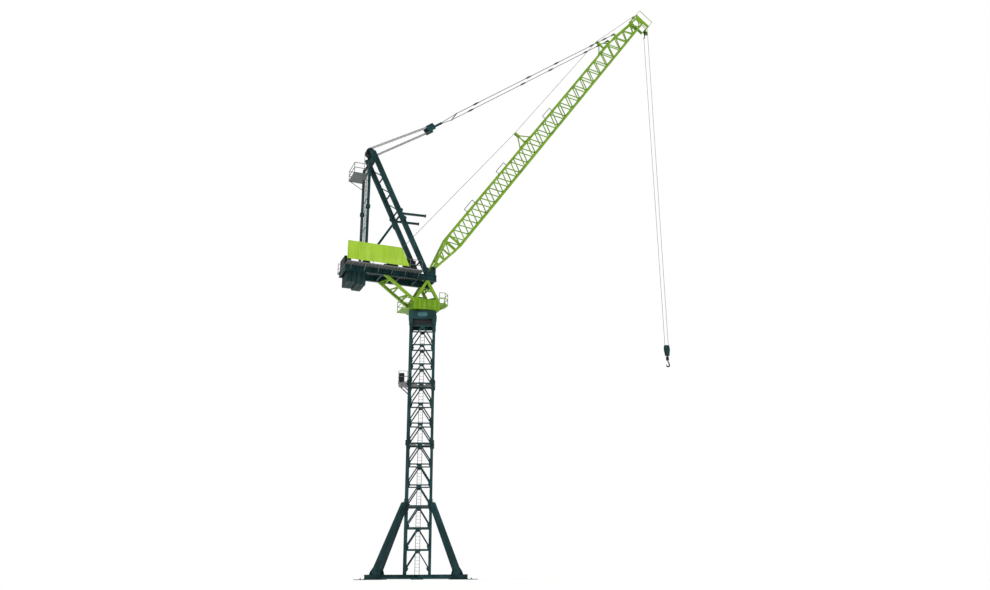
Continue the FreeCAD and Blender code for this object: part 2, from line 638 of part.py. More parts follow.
def make_a_frame_head():
    inner = AFRAME_Y - FRONT_LEG_W / 2
    beam = bar(V(HEAD_X + 0.28 * M, -inner, HEAD_Z - 0.75 * M),
               V(HEAD_X + 0.28 * M, inner, HEAD_Z - 0.75 * M),
               0.30 * M, 0.40 * M, V(1, 0, 0))
    cheeks = []
    for s in (-1, 1):
        y = s * 0.50 * M
        cheeks.append(bar(V(HEAD_X + 0.28 * M, y, HEAD_Z - 0.70 * M), V(HEAD_X, y, HEAD_Z + 0.45 * M),
                          0.06 * M, 0.50 * M))
    pin_r = 0.08 * M
    head = fuse([beam] + cheeks).cut(disc(HEAD_X, HEAD_Z + 0.25 * M, pin_r + RUN, -M, M))
    save("a_frame_head", head)
    sheaves = [disc(HEAD_X, HEAD_Z + 0.25 * M, pin_r, -0.53 * M, 0.53 * M)]
    for n in range(4):
        y = (n - 1.5) * 0.20 * M
        sheaves.append(disc(HEAD_X, HEAD_Z + 0.25 * M, HEAD_SHEAVE_R - ROPE_R, y - SHEAVE_T / 2,
                            y + SHEAVE_T / 2))
    save("head_sheaves", fuse(sheaves))


def head_platform():
    """Platform behind the A-frame head, slotted for the luffing rope, and its guard rail."""
    level = HEAD_Z - 2.75 * M
    half, e, slot = AFRAME_Y + REAR_LEG / 4, RAIL, 0.12 * M
    x1 = REAR_LEG_X - REAR_LEG / 2
    x0 = x1 - 1.45 * M
    room = box(x0, x1, -2 * M, 2 * M, level - M, level)
    knees = [bar(V(x0 + 0.2 * M, y, level), V(x1, y, level - 0.7 * M), RAIL, RAIL).common(room)
             for y in (-AFRAME_Y, AFRAME_Y)]
    floor = fuse([box(x0, x1, -half, half, level, level + FLOOR_T)] + knees)
    floor = floor.cut(box(LEAD_X - slot, x1, LEAD_Y - slot, LEAD_Y + slot, level - M, level + M))
    top = level + FLOOR_T
    points = [V(x1 - e, -half + e, top), V(x0 + e, -half + e, top),
              V(x0 + e, half - e, top), V(x1 - e, half - e, top)]
    return floor, rail_run(points)


# ---------------------------------------------------------------- jib
def on_jib(along, up, y=0.0):
    """Point measured from the pivot: along the jib, and square to it (towards the upper chords)."""
    a = math.radians(JIB_ANGLE)
    return V(PIVOT_X + along * math.cos(a) - up * math.sin(a), y,
             PIVOT_Z + along * math.sin(a) + up * math.cos(a))


def upper_at(along):
    """Height of the upper chord over the pivot line; it comes down over the tip bays."""
    start = ROOT_LENGTH + (JIB_BAYS - TAPER_BAYS) * JIB_BAY
    drop = (JIB_DEPTH - TIP_DEPTH) * max(0.0, along - start) / (TAPER_BAYS * JIB_BAY)
    return JIB_DEPTH - LOWER_DROP - drop


def jib_box(start, end, y0, y1, low, high):
    """Box along the jib, between two distances from the pivot and two heights over its line."""
    shape = Part.makeBox(end - start, y1 - y0, high - low)
    along = on_jib(1, 0).sub(on_jib(0, 0))
    turn = FreeCAD.Rotation(along, V(0, 1, 0), V(0, 0, 0), "XYZ")
    shape.Placement = FreeCAD.Placement(on_jib(start, low, y0), turn)
    return shape


JIB_TIP = ROOT_LENGTH + JIB_BAYS * JIB_BAY


def jib_side():
    y = -JIB_Y
    taper = ROOT_LENGTH + (JIB_BAYS - TAPER_BAYS) * JIB_BAY
    pieces = [bar(on_jib(ROOT_LENGTH, -LOWER_DROP, y), on_jib(JIB_TIP, -LOWER_DROP, y), CHORD, CHORD),
              bar(on_jib(ROOT_LENGTH, upper_at(0), y), on_jib(taper, upper_at(0), y), CHORD, CHORD),
              bar(on_jib(taper, upper_at(0), y), on_jib(JIB_TIP, upper_at(JIB_TIP), y), CHORD, CHORD)]
    for k in range(JIB_BAYS):
        s0 = ROOT_LENGTH + k * JIB_BAY
        mid, s1 = s0 + JIB_BAY / 2, s0 + JIB_BAY
        pieces.append(bar(on_jib(s0, upper_at(s0), y), on_jib(mid, -LOWER_DROP, y), LACING, LACING))
        pieces.append(bar(on_jib(mid, -LOWER_DROP, y), on_jib(s1, upper_at(s1), y), LACING, LACING))
    pieces.append(bar(on_jib(ROOT_LENGTH + CHORD / 2, -LOWER_DROP, y),
                      on_jib(ROOT_LENGTH + CHORD / 2, upper_at(0), y), CHORD * 0.8, CHORD))
    pieces.append(bar(on_jib(JIB_TIP - CHORD / 2, -LOWER_DROP, y),
                      on_jib(JIB_TIP - CHORD / 2, upper_at(JIB_TIP), y), CHORD * 0.8, CHORD))
    room = jib_box(ROOT_LENGTH + SEAT, JIB_TIP - SEAT, -M, 0, -2 * M, 2 * M)
    return fuse(pieces + [pendant_lug()]).common(room)


def jib_lacing(height_at):
    """Flat lacing between the near and far sides, at the height that height_at gives."""
    inner = JIB_Y - CHORD / 2
    pieces = []
    for k in range(JIB_BAYS):
        s0 = ROOT_LENGTH + k * JIB_BAY
        mid, s1 = s0 + JIB_BAY / 2, s0 + JIB_BAY
        pieces.append(bar(on_jib(s0, height_at(s0), -inner), on_jib(mid, height_at(mid), inner),
                          LACING, LACING, on_jib(0, 1).sub(on_jib(0, 0))))
        pieces.append(bar(on_jib(mid, height_at(mid), inner), on_jib(s1, height_at(s1), -inner),
                          LACING, LACING, on_jib(0, 1).sub(on_jib(0, 0))))
    return fuse(pieces).common(jib_box(ROOT_LENGTH + SEAT, JIB_TIP - SEAT, -inner, inner, -2 * M, 2 * M))


def jib_root_side():
    """Foot frame of one side: two chords that meet at the pivot eye, with a cross plate and lacing."""
    eye_r = 0.26 * M
    eye = on_jib(0, 0, -FOOT_Y)
    foot = disc(eye.x, eye.z, eye_r, -FOOT_Y - 0.11 * M, -FOOT_Y + 0.11 * M)
    low = on_jib(ROOT_LENGTH, -LOWER_DROP, -JIB_Y)
    high = on_jib(ROOT_LENGTH, upper_at(0), -JIB_Y)
    pieces = [foot, bar(eye, low, CHORD, CHORD), bar(eye, high, CHORD, CHORD)]
    for share, size in ((0.42, CHORD), (0.62, LACING), (0.80, LACING)):
        a = eye.add((low.sub(eye)) * share)
        b = eye.add((high.sub(eye)) * share)
        pieces.append(bar(a, b, size * 0.8, size))
    a = eye.add((low.sub(eye)) * 0.62)
    b = eye.add((high.sub(eye)) * 0.80)
    pieces.append(bar(a, b, LACING * 0.8, LACING))
    pin = disc(eye.x, eye.z, PIVOT_PIN_R + RUN, -2 * M, 0)
    return fuse(pieces).common(jib_box(-M, ROOT_LENGTH, -2 * M, 0, -2 * M, 2 * M)).cut(pin)


def make_jib():
    side = jib_side()
    save("jib_sides", several([side, mirrored(side)]))
    save("jib_lacing", several([jib_lacing(upper_at), jib_lacing(lambda along: -LOWER_DROP)]))
    root = jib_root_side()
    ties = [root, mirrored(root)]
    for share, up in ((0.42, -LOWER_DROP), (0.42, upper_at(0)), (0.72, -LOWER_DROP), (0.72, upper_at(0))):
        y = FOOT_Y + (JIB_Y - FOOT_Y) * share - CHORD / 2
        p = on_jib(ROOT_LENGTH * share, up * share)
        ties.append(bar(shifted(p, -y), shifted(p, y), CHORD * 0.7, CHORD * 0.7, V(1, 0, 0)))
    save("jib_root", fuse(ties))
    brackets = []
    for s in (-1, 1):
        outer = FOOT_Y + 0.11 * M + FREE
        plate_y = s * (outer + 0.04 * M)
        lug = bar(V(PIVOT_X, plate_y, DECK_TOP), V(PIVOT_X, plate_y, PIVOT_Z), 0.08 * M, 0.55 * M)
        eye = disc(PIVOT_X, PIVOT_Z, 0.275 * M, plate_y - 0.04 * M, plate_y + 0.04 * M)
        inner = s * (FOOT_Y - 0.11 * M - FREE - 0.04 * M)
        lug_2 = bar(V(PIVOT_X, inner, DECK_TOP), V(PIVOT_X, inner, PIVOT_Z), 0.08 * M, 0.55 * M)
        eye_2 = disc(PIVOT_X, PIVOT_Z, 0.275 * M, inner - 0.04 * M, inner + 0.04 * M)
        above = box(-2 * M, 3 * M, -3 * M, 3 * M, DECK_TOP, PIVOT_Z + M)
        y0, y1 = sorted((plate_y + s * 0.04 * M, inner - s * 0.04 * M))
        base = box(PIVOT_X - 0.3 * M, PIVOT_X + 0.3 * M, y0, y1, DECK_TOP, DECK_TOP + 0.06 * M)
        pin = disc(PIVOT_X, PIVOT_Z, PIVOT_PIN_R, y0 - 0.04 * M, y1 + 0.04 * M)
        brackets.append(fuse([lug, eye, lug_2, eye_2, base, pin]).common(above))
    save("jib_foot_brackets", several(brackets))


def make_rope_posts():
    posts = []
    for at, height in ((POST_1, POST_1_H), (POST_2, POST_2_H)):
        base = upper_at(at) + CHORD / 2
        top = base + height
        pieces = []
        for s in (-1, 1):
            for lean in (-1, 1):
                pieces.append(bar(on_jib(at + lean * 0.55 * M, base, s * 0.62 * M),
                                  on_jib(at, top - 0.45 * M, s * 0.10 * M), LACING, LACING))
            pieces.append(bar(on_jib(at, top - 0.60 * M, s * 0.10 * M),
                              on_jib(at, top + 0.06 * M, s * 0.10 * M),
                              0.05 * M, 0.26 * M))
        pieces.append(bar(on_jib(at, top - 0.50 * M, -0.12 * M), on_jib(at, top - 0.50 * M, 0.12 * M),
                          0.12 * M, 0.20 * M, V(1, 0, 0)))
        for lean in (-1, 1):
            pieces.append(bar(on_jib(at + lean * 0.55 * M, base + LACING / 2, -JIB_Y),
                              on_jib(at + lean * 0.55 * M, base + LACING / 2, JIB_Y),
                              LACING, LACING, on_jib(1, 0).sub(on_jib(0, 0))))
        axle = on_jib(at, top - 0.12 * M)
        pieces.append(disc(axle.x, axle.z, 0.05 * M, -0.12 * M, 0.12 * M))
        pieces.append(disc(axle.x, axle.z, 0.14 * M - ROPE_R, -0.05 * M, 0.05 * M))
        posts.append(fuse(pieces).common(jib_box(at - M, at + M, -M, M, base + SEAT, base + 3 * M)))
    save("rope_posts", several(posts))


def post_head(at, height):
    """Where the hoist rope runs over a post's sheave."""
    return on_jib(at, upper_at(at) + CHORD / 2 + height - 0.12 * M + 0.16 * M)


def tip_sheave_centre():
    return on_jib(JIB_TIP - TIP_SHEAVE_BACK, -TIP_SHEAVE_BELOW)


def make_jib_head():
    s0 = JIB_TIP
    low, high = -HEAD_BELOW, HEAD_ABOVE
    frame = []
    for s in (-1, 1):
        y = s * JIB_Y
        frame.append(bar(on_jib(s0 + 0.17 * M, low, y), on_jib(s0 + 0.17 * M, high, y), 0.12 * M, 0.34 * M))
    for up in (low + 0.05 * M, high - 0.05 * M, -LOWER_DROP, upper_at(s0)):
        frame.append(bar(on_jib(s0 + 0.17 * M, up, -JIB_Y), on_jib(s0 + 0.17 * M, up, JIB_Y),
                         0.34 * M, 0.10 * M, on_jib(1, 0).sub(on_jib(0, 0))))
    centre = tip_sheave_centre()
    cheeks = []
    for s in (-1, 1):
        y = s * 0.10 * M
        cheeks.append(bar(on_jib(s0 + 0.17 * M, low + 0.05 * M, y), V(centre.x, y, centre.z),
                          0.04 * M, 0.26 * M))
        cheeks.append(disc(centre.x, centre.z, 0.13 * M, y - 0.02 * M, y + 0.02 * M))
    pin = disc(centre.x, centre.z, 0.05 * M, -0.20 * M, 0.20 * M)
    sheave = disc(centre.x, centre.z, TIP_SHEAVE_R - ROPE_R, -0.045 * M, 0.045 * M)
    for s in (-1, 1):
        y = s * 0.10 * M
        frame.append(bar(on_jib(s0 + 0.17 * M, high - 0.10 * M, y),
                         on_jib(s0 + 0.48 * M, high + 0.05 * M, y),
                         0.04 * M, 0.20 * M))
    axle = on_jib(s0 + 0.45 * M, high - 0.08 * M)
    frame.append(disc(axle.x, axle.z, 0.04 * M, -0.12 * M, 0.12 * M))
    frame.append(disc(axle.x, axle.z, 0.12 * M - ROPE_R, -0.045 * M, 0.045 * M))
    rail = []
    for up in (low + 0.05 * M, high - 0.05 * M):
        for s in (-1, 1):
            rail.append(bar(on_jib(s0 + 0.34 * M, up, s * JIB_Y),
                            on_jib(s0 + 1.25 * M, up, s * JIB_Y), RAIL, RAIL))
    for s in (-1, 1):
        rail.append(bar(on_jib(s0 + 1.22 * M, low + 0.03 * M, s * JIB_Y),
                        on_jib(s0 + 1.22 * M, high - 0.03 * M, s * JIB_Y),
                        RAIL, RAIL))
    save("jib_head", fuse(frame + cheeks + [pin, sheave] + rail))


def pendant_lug():
    """Eye and pin for a pendant, on the near upper chord."""
    p = on_jib(LUG_AT, upper_at(LUG_AT) + LUG_RISE, -JIB_Y)
    return fuse([bar(on_jib(LUG_AT, upper_at(LUG_AT), -JIB_Y), p, 0.06 * M, 0.36 * M),
                 disc(p.x, p.z, 0.14 * M, p.y - 0.03 * M, p.y + 0.03 * M),
                 disc(p.x, p.z, 0.05 * M, p.y - 0.09 * M, p.y + 0.09 * M)])


# ---------------------------------------------------------------- ropes and blocks
def lug_point():
    return on_jib(LUG_AT, upper_at(LUG_AT) + LUG_RISE)


def block_point():
    return V(BLOCK_X, 0, DECK_TOP + BLOCK_Z_RISE)


def head_point():
    return V(HEAD_X, 0, HEAD_Z + 0.25 * M)


def make_luffing_tackle():
    head, block, lug = head_point(), block_point(), lug_point()
    line = block.sub(head).normalize()
    square = V(-line.z, 0, line.x)
    ropes = []
    for n in range(4):
        y = (n - 1.5) * 0.20 * M
        for s in (-1, 1):
            a = head.add(square * (s * HEAD_SHEAVE_R))
            b = block.add(square * (s * BLOCK_R))
            ropes.append(rod(shifted(a, y), shifted(b, y), ROPE_R))
    save("luffing_falls", several(ropes))
    pieces = [disc(block.x, block.z, 0.07 * M, -0.46 * M, 0.46 * M)]
    for n in range(4):
        y = (n - 1.5) * 0.20 * M
        pieces.append(disc(block.x, block.z, BLOCK_R - ROPE_R, y - SHEAVE_T / 2, y + SHEAVE_T / 2))
    to_lug = lug.sub(block).normalize()
    tail_end = block.add(to_lug * TAIL_L)
    for s in (-1, 1):
        y = s * 0.43 * M
        pieces.append(bar(shifted(block.sub(to_lug * (0.42 * M)), y),
                          shifted(block.add(to_lug * (0.50 * M)), y),
                          0.05 * M, 0.72 * M))
    pieces.append(bar(block.add(to_lug * (0.44 * M)), block.add(to_lug * (0.54 * M)), 0.90 * M, 0.40 * M))
    pieces.append(bar(block.add(to_lug * (0.50 * M)), tail_end, 0.12 * M, 0.22 * M))
    save("luffing_block", fuse(pieces))
    spread = block.add(to_lug * (TAIL_L + 1.75 * M))
    bridle = []
    for s in (-1, 1):
        eye = tail_end.sub(to_lug * (0.12 * M))
        a = shifted(eye, s * (0.06 * M + FREE + PENDANT_R))
        b = shifted(spread, s * JIB_Y)
        bridle.append(rod(a, b, PENDANT_R))
    bridle.append(rod(shifted(spread, -JIB_Y - 0.1 * M), shifted(spread, JIB_Y + 0.1 * M), PENDANT_R * 1.6))
    save("pendant_bridle", fuse(bridle))
    pendants = []
    for s in (-1, 1):
        y = s * JIB_Y
        start = spread.add(to_lug * (PENDANT_R * 1.6 + RUN))
        end = lug.sub(to_lug * (0.14 * M + FREE))
        pieces = [rod(shifted(start, y), shifted(end, y), PENDANT_R)]
        for share in (0.10, 0.42, 0.60, 0.84, 0.93):
            p = start.add((end.sub(start)) * share)
            q = p.add(to_lug * (0.40 * M))
            pieces.append(bar(shifted(p, y), shifted(q, y), 0.12 * M, 0.16 * M))
        fork = [bar(shifted(end.sub(to_lug * (0.25 * M)), y + t * 0.06 * M), shifted(lug, y + t * 0.06 * M),
                    0.03 * M, 0.14 * M) for t in (-1, 1)]
        yoke = bar(shifted(end.sub(to_lug * (0.30 * M)), y),
                   shifted(end.sub(to_lug * (0.10 * M)), y), 0.15 * M, 0.14 * M)
        pieces += fork + [yoke]
        keep_out = disc(lug.x, lug.z, 0.05 * M + RUN, y - M / 4, y + M / 4)
        pendants.append(fuse(pieces).cut(keep_out))
    save("pendants", several(pendants))


def rope_along(route):
    """Taut rope through the points of route, mitred where it turns."""
    path = Part.Wire([Part.makeLine(a, b) for a, b in zip(route, route[1:])])
    section = Part.Wire([Part.makeCircle(ROPE_R, route[0], route[1].sub(route[0]))])
    return path.makePipeShell([section], True, False, 1)


def make_hoist_rope():
    drum_z = DECK_TOP + DRUM_RISE
    post = post_head(POST_1, POST_1_H)
    post_2 = post_head(POST_2, POST_2_H)
    centre = tip_sheave_centre()
    axle = V(DRUM_X, 0, drum_z)
    reach = post.sub(axle)
    lean = math.asin(DRUM_R / reach.Length)
    heading = math.atan2(reach.z, reach.x) - lean
    start = V(DRUM_X - DRUM_R * math.sin(heading), 0, drum_z + DRUM_R * math.cos(heading))
    run = post.sub(start)
    split = start.add(run * 0.14)
    save("hoist_rope_drum_end", rod(start, split, ROPE_R))
    save("hoist_rope_to_post", rod(split, post.sub(run.normalize() * ROPE_STOP), ROPE_R))
    over = on_jib(JIB_TIP + 0.59 * M, HEAD_ABOVE + 0.06 * M)
    down = on_jib(JIB_TIP + 0.59 * M, -HEAD_BELOW - 0.10 * M)
    on_sheave = V(centre.x + TIP_SHEAVE_R, 0, centre.z)
    route = [post, post_2, over, down, on_sheave]
    save("hoist_rope_on_jib", rope_along(route))


def make_hook():
    centre = tip_sheave_centre()
    block_z = centre.z - HOOK_DROP
    r = TIP_SHEAVE_R
    link_end = centre.z - 0.75 * M
    link = bar(V(centre.x - r, -0.16 * M, centre.z + 0.02 * M),
               V(centre.x - r, -0.16 * M, link_end), 0.03 * M, 0.10 * M)
    eye = disc(centre.x, centre.z, 0.11 * M, -0.175 * M, -0.145 * M)
    arm = bar(V(centre.x, -0.16 * M, centre.z), V(centre.x - r, -0.16 * M, centre.z), 0.03 * M, 0.10 * M)
    hole = disc(centre.x, centre.z, 0.05 * M + RUN, -0.2 * M, -0.1 * M)
    socket = box(centre.x - r - 0.05 * M, centre.x - r + 0.05 * M, -0.175 * M, 0.05 * M,
                 link_end - 0.10 * M, link_end)
    save("rope_anchor", fuse([link, eye, arm, socket]).cut(hole))
    r2 = HOOK_SHEAVE_R
    falls = [rod(V(centre.x - r, 0, link_end - 0.10 * M - 0.5), V(centre.x - r2, 0, block_z), ROPE_R),
             rod(V(centre.x + r, 0, centre.z - 0.5), V(centre.x + r2, 0, block_z), ROPE_R)]
    save("hook_falls", several(falls))
    half = 0.325 * M
    cheeks = []
    for s in (-1, 1):
        y = s * 0.09 * M
        outline = [V(centre.x - half * 0.8, y, block_z + 0.45 * M),
                   V(centre.x + half * 0.8, y, block_z + 0.45 * M),
                   V(centre.x + half, y, block_z), V(centre.x + half * 0.6, y, block_z - 0.76 * M),
                   V(centre.x - half * 0.6, y, block_z - 0.76 * M), V(centre.x - half, y, block_z)]
        face = Part.Face(Part.makePolygon(outline + outline[:1]))
        cheeks.append(face.extrude(V(0, s * 0.05 * M, 0)))
    tie = box(centre.x - half * 0.6, centre.x + half * 0.6, -0.14 * M, 0.14 * M, block_z - 0.76 * M,
              block_z - 0.60 * M)
    sheave = disc(centre.x, block_z, r2 - ROPE_R, -0.045 * M, 0.045 * M)
    pin = disc(centre.x, block_z, 0.05 * M, -0.14 * M, 0.14 * M)
    trunnion = Part.makeCylinder(0.06 * M, 0.30 * M, V(centre.x, 0, block_z - 1.05 * M))
    save("hook_block", fuse(cheeks + [tie, sheave, pin, trunnion]))
    top = block_z - 0.82 * M
    bore = Part.makeCylinder(0.06 * M + RUN, M, V(centre.x, 0, top - 0.4 * M))
    nut = Part.makeCylinder(0.17 * M, 0.34 * M, V(centre.x, 0, top - 0.36 * M)).cut(bore)
    floor = Part.makeCylinder(0.17 * M, 0.10 * M, V(centre.x, 0, top - 0.44 * M))
    bend = V(centre.x, 0, top - 0.95 * M)
    bow = Part.makeTorus(0.20 * M, 0.075 * M, bend, V(0, 1, 0))
    opening = box(bend.x - 0.40 * M, bend.x, -M, M, bend.z, bend.z + 0.4 * M)
    shank = bar(V(centre.x, 0, top - 0.42 * M), V(centre.x + 0.14 * M, 0, top - 0.80 * M), 0.13 * M,
                0.13 * M)
    save("hook", fuse([nut, floor, shank, bow.cut(opening)]))


os.makedirs("parts", exist_ok=True)
make_base()
make_knee_struts()
make_mast()
make_mast_access()
make_slewing_support()
make_turntable()
make_slewing_tower()
make_deck()
make_counterweights()
make_deck_equipment()
make_a_frame()
make_a_frame_head()
make_walkway_side()
make_jib()
make_rope_posts()
make_jib_head()
make_luffing_tackle()
make_hoist_rope()
make_hook()
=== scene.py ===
"""Looks of the luffing-jib tower crane: finishes, fittings, ropes, camera and light."""

import json
import math

import bmesh
import bpy
from mathutils import Euler, Matrix, Vector


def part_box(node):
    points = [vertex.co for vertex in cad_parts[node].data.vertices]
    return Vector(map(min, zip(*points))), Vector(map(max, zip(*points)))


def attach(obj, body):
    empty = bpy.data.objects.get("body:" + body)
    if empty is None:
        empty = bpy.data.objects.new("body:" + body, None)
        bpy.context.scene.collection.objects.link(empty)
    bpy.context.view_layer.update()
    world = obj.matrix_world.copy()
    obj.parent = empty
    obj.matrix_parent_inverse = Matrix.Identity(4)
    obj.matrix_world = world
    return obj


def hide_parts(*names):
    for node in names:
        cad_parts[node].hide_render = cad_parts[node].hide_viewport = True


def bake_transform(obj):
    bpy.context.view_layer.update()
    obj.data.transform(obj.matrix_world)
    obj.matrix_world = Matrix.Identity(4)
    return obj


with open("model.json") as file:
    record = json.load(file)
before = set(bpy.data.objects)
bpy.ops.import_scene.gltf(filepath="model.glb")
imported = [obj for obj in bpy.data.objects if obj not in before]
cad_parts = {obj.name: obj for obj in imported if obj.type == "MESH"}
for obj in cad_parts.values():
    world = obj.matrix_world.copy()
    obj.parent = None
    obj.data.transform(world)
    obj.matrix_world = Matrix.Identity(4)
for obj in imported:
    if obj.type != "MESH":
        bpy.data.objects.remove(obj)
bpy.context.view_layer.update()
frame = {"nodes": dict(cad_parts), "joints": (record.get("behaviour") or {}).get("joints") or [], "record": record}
JOINTS = {joint["name"]: joint for joint in frame["joints"]}

# ---- driving sizes, in metres: M is one metre of the real crane ----
M = 0.5
MAST_TURN = math.radians(-19.08)
MAST_W, LEG, COLLAR, BRACE = 2.50 * M, 0.26 * M, 0.36 * M, 0.11 * M
MAST_FOOT, BAY, BAYS, SECTION_BAYS = 0.72 * M, 1.90 * M, 12, 3
MAST_TOP = MAST_FOOT + BAY * BAYS
FOOT_RADIUS, ANCHOR_RADIUS = 5.20 * M, 6.65 * M
ARM_W, ARM_TOP, PLATE_T = 0.50 * M, 0.43 * M, 0.05 * M
STRUT_W, STRUT_TOP = 0.38 * M, 6.60 * M
GIRDER_Y, GIRDER_W, FLANGE_T = 1.15 * M, 0.30 * M, 0.05 * M
SUPPORT_HALF, TURNTABLE_HALF = 1.31 * M, 1.30 * M
AFRAME_Y, FRONT_LEG_W, HEAD_BOSS_Y = 1.13 * M, 0.34 * M, 0.53 * M
WALK_OUTER = GIRDER_Y + GIRDER_W / 2 + 0.75 * M
JIB_ANGLE = math.radians(54.25)
JIB_Y, CHORD, LACING = 0.74 * M, 0.20 * M, 0.09 * M
JIB_DEPTH, TIP_DEPTH, LOWER_DROP = 1.58 * M, 0.95 * M, 0.66 * M
ROOT_LENGTH, JIB_BAY, JIB_BAYS, TAPER_BAYS = 4.25 * M, 1.71 * M, 24, 3
ROPE_R, DRUM_R, LUFFING_DRUM_R = 0.022 * M, 0.42 * M, 0.42 * M
HEAD_SHEAVE_R, BLOCK_R, TIP_SHEAVE_R, HOOK_SHEAVE_R = 0.45 * M, 0.28 * M, 0.30 * M, 0.22 * M
SHEAVE_PITCH = 0.20 * M
FALLS_LENGTH = 7.506 * M        # head pin to block pin at rest
TAIL_L, BRIDLE_L = 1.75 * M, 1.75 * M
ROPE_POSTS = ((20.05 * M, 1.50 * M), (38.45 * M, 1.15 * M))     # place along the jib, and height
POST_SHEAVE_R = 0.14 * M
UP = Vector((0, 0, 1))
SIDE = Vector((0, 1, 0))

# ---- places read from the frame ----
PIVOT = Vector(JOINTS["luff"]["pos_m"])
HEAD_PIN = Vector(JOINTS["falls_swing"]["pos_m"])
DRUM_PIN = Vector(JOINTS["drum_swing"]["pos_m"])
TIP_PIN = Vector(JOINTS["hang"]["pos_m"])
HOOK_PIN = Vector(JOINTS["hook_swivel"]["pos_m"])
DECK_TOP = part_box("deck_girders")[1][2]
DECK_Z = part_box("deck_girders")[0][2]
DECK_REAR, DECK_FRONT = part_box("deck_girders")[0][0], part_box("deck_girders")[1][0]
SUPPORT_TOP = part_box("slewing_support")[1][2]
FALLS_LINE = Vector(JOINTS["block_travel"]["axis"]).normalized()
ROPE_LINE = Vector(JOINTS["rope_travel"]["axis"]).normalized()
BLOCK_PIN = HEAD_PIN + FALLS_LINE * FALLS_LENGTH
JIB_TIP = ROOT_LENGTH + JIB_BAYS * JIB_BAY


# ================================================================ finishes
def srgb(red, green, blue):
    """A display colour, 0 to 255, as the linear values that shaders take."""
    def linear(value):
        share = value / 255
        return share / 12.92 if share <= 0.04045 else ((share + 0.055) / 1.055) ** 2.4
    return (linear(red), linear(green), linear(blue), 1.0)


def noise(tree, place, scale, detail, stretch=(1, 1, 1)):
    """Noise in the object's own axes, in features per metre, stretched along an axis where asked."""
    mapping = tree.nodes.new("ShaderNodeMapping")
    mapping.inputs["Scale"].default_value = stretch
    texture = tree.nodes.new("ShaderNodeTexNoise")
    texture.inputs["Scale"].default_value = scale
    texture.inputs["Detail"].default_value = detail
    tree.links.new(place.outputs["Object"], mapping.inputs["Vector"])
    tree.links.new(mapping.outputs["Vector"], texture.inputs["Vector"])
    return texture.outputs["Fac"]


def between(tree, value, low, high, out_low=0.0, out_high=1.0):
    """Spreads value's range low..high over out_low..out_high."""
    node = tree.nodes.new("ShaderNodeMapRange")
    for name, number in (("From Min", low), ("From Max", high), ("To Min", out_low), ("To Max", out_high)):
        node.inputs[name].default_value = number
    tree.links.new(value, node.inputs["Value"])
    return node.outputs["Result"]


def mixed(tree, factor, first, second):
    """Colour between first and second; first is a colour or another node's output."""
    node = tree.nodes.new("ShaderNodeMix")
    node.data_type = "RGBA"
    tree.links.new(factor, node.inputs[0])
    if isinstance(first, tuple):
        node.inputs[6].default_value = first
    else:
        tree.links.new(first, node.inputs[6])
    node.inputs[7].default_value = second
    return node.outputs[2]


def bumped(tree, shader, height, strength, distance):
    node = tree.nodes.new("ShaderNodeBump")
    node.inputs["Strength"].default_value = strength
    node.inputs["Distance"].default_value = distance
    tree.links.new(height, node.inputs["Height"])
    tree.links.new(node.outputs["Normal"], shader.inputs["Normal"])


def new_finish(name, metallic, specular):
    material = bpy.data.materials.new(name)
    material.use_nodes = True
    tree = material.node_tree
    shader = tree.nodes["Principled BSDF"]
    shader.inputs["Metallic"].default_value = metallic
    shader.inputs["Specular IOR Level"].default_value = specular
    return material, tree, shader, tree.nodes.new("ShaderNodeTexCoord")


def paint(name, colour, faded, grime, rough=0.42, specular=0.3):
    """Weathered machine paint: faded patches, rain streaks down the sides, chips and orange peel."""
    material, tree, shader, place = new_finish(name, 0.0, specular)
    patches = between(tree, noise(tree, place, 1.6, 5), 0.40, 0.68)
    streaks = between(tree, noise(tree, place, 9.0, 6, (1, 1, 0.08)), 0.54, 0.78, 0.0, 0.65)
    chips = between(tree, noise(tree, place, 55.0, 3), 0.69, 0.72, 0.0, 0.8)
    tone = mixed(tree, patches, colour, faded)
    tone = mixed(tree, streaks, tone, grime)
    tone = mixed(tree, chips, tone, srgb(58, 44, 34))
    tree.links.new(tone, shader.inputs["Base Color"])
    tree.links.new(between(tree, streaks, 0.0, 0.65, rough, rough + 0.3), shader.inputs["Roughness"])
    bumped(tree, shader, noise(tree, place, 140.0, 2), 0.12, 0.002)
    return material


def metal(name, colour, dull, rough, metallic=0.7):
    """Bare or galvanised steel: spangled patches and dull spots."""
    material, tree, shader, place = new_finish(name, metallic, 0.4)
    spangle = between(tree, noise(tree, place, 32.0, 4), 0.35, 0.65)
    tree.links.new(mixed(tree, spangle, colour, dull), shader.inputs["Base Color"])
    tree.links.new(between(tree, spangle, 0.0, 1.0, rough, rough + 0.25), shader.inputs["Roughness"])
    bumped(tree, shader, noise(tree, place, 210.0, 3), 0.15, 0.001)
    return material


def wave(tree, place, direction, per_metre):
    texture = tree.nodes.new("ShaderNodeTexWave")
    texture.bands_direction = direction
    texture.inputs["Scale"].default_value = per_metre
    tree.links.new(place.outputs["Object"], texture.inputs["Vector"])
    return texture.outputs["Fac"]


def strands(name, colour, groove):
    """Laid wire rope: slanting strands, darker in the grooves between them, and patches of grease."""
    material, tree, shader, place = new_finish(name, 0.55, 0.4)
    lay = wave(tree, place, "DIAGONAL", 9.0)
    grease = between(tree, noise(tree, place, 5.0, 4), 0.45, 0.75, 0.0, 0.7)
    tone = mixed(tree, between(tree, lay, 0.1, 0.6, 1.0, 0.0), colour, groove)
    tree.links.new(mixed(tree, grease, tone, groove), shader.inputs["Base Color"])
    tree.links.new(between(tree, grease, 0.0, 0.7, 0.5, 0.3), shader.inputs["Roughness"])
    bumped(tree, shader, lay, 0.6, 0.004)
    return material


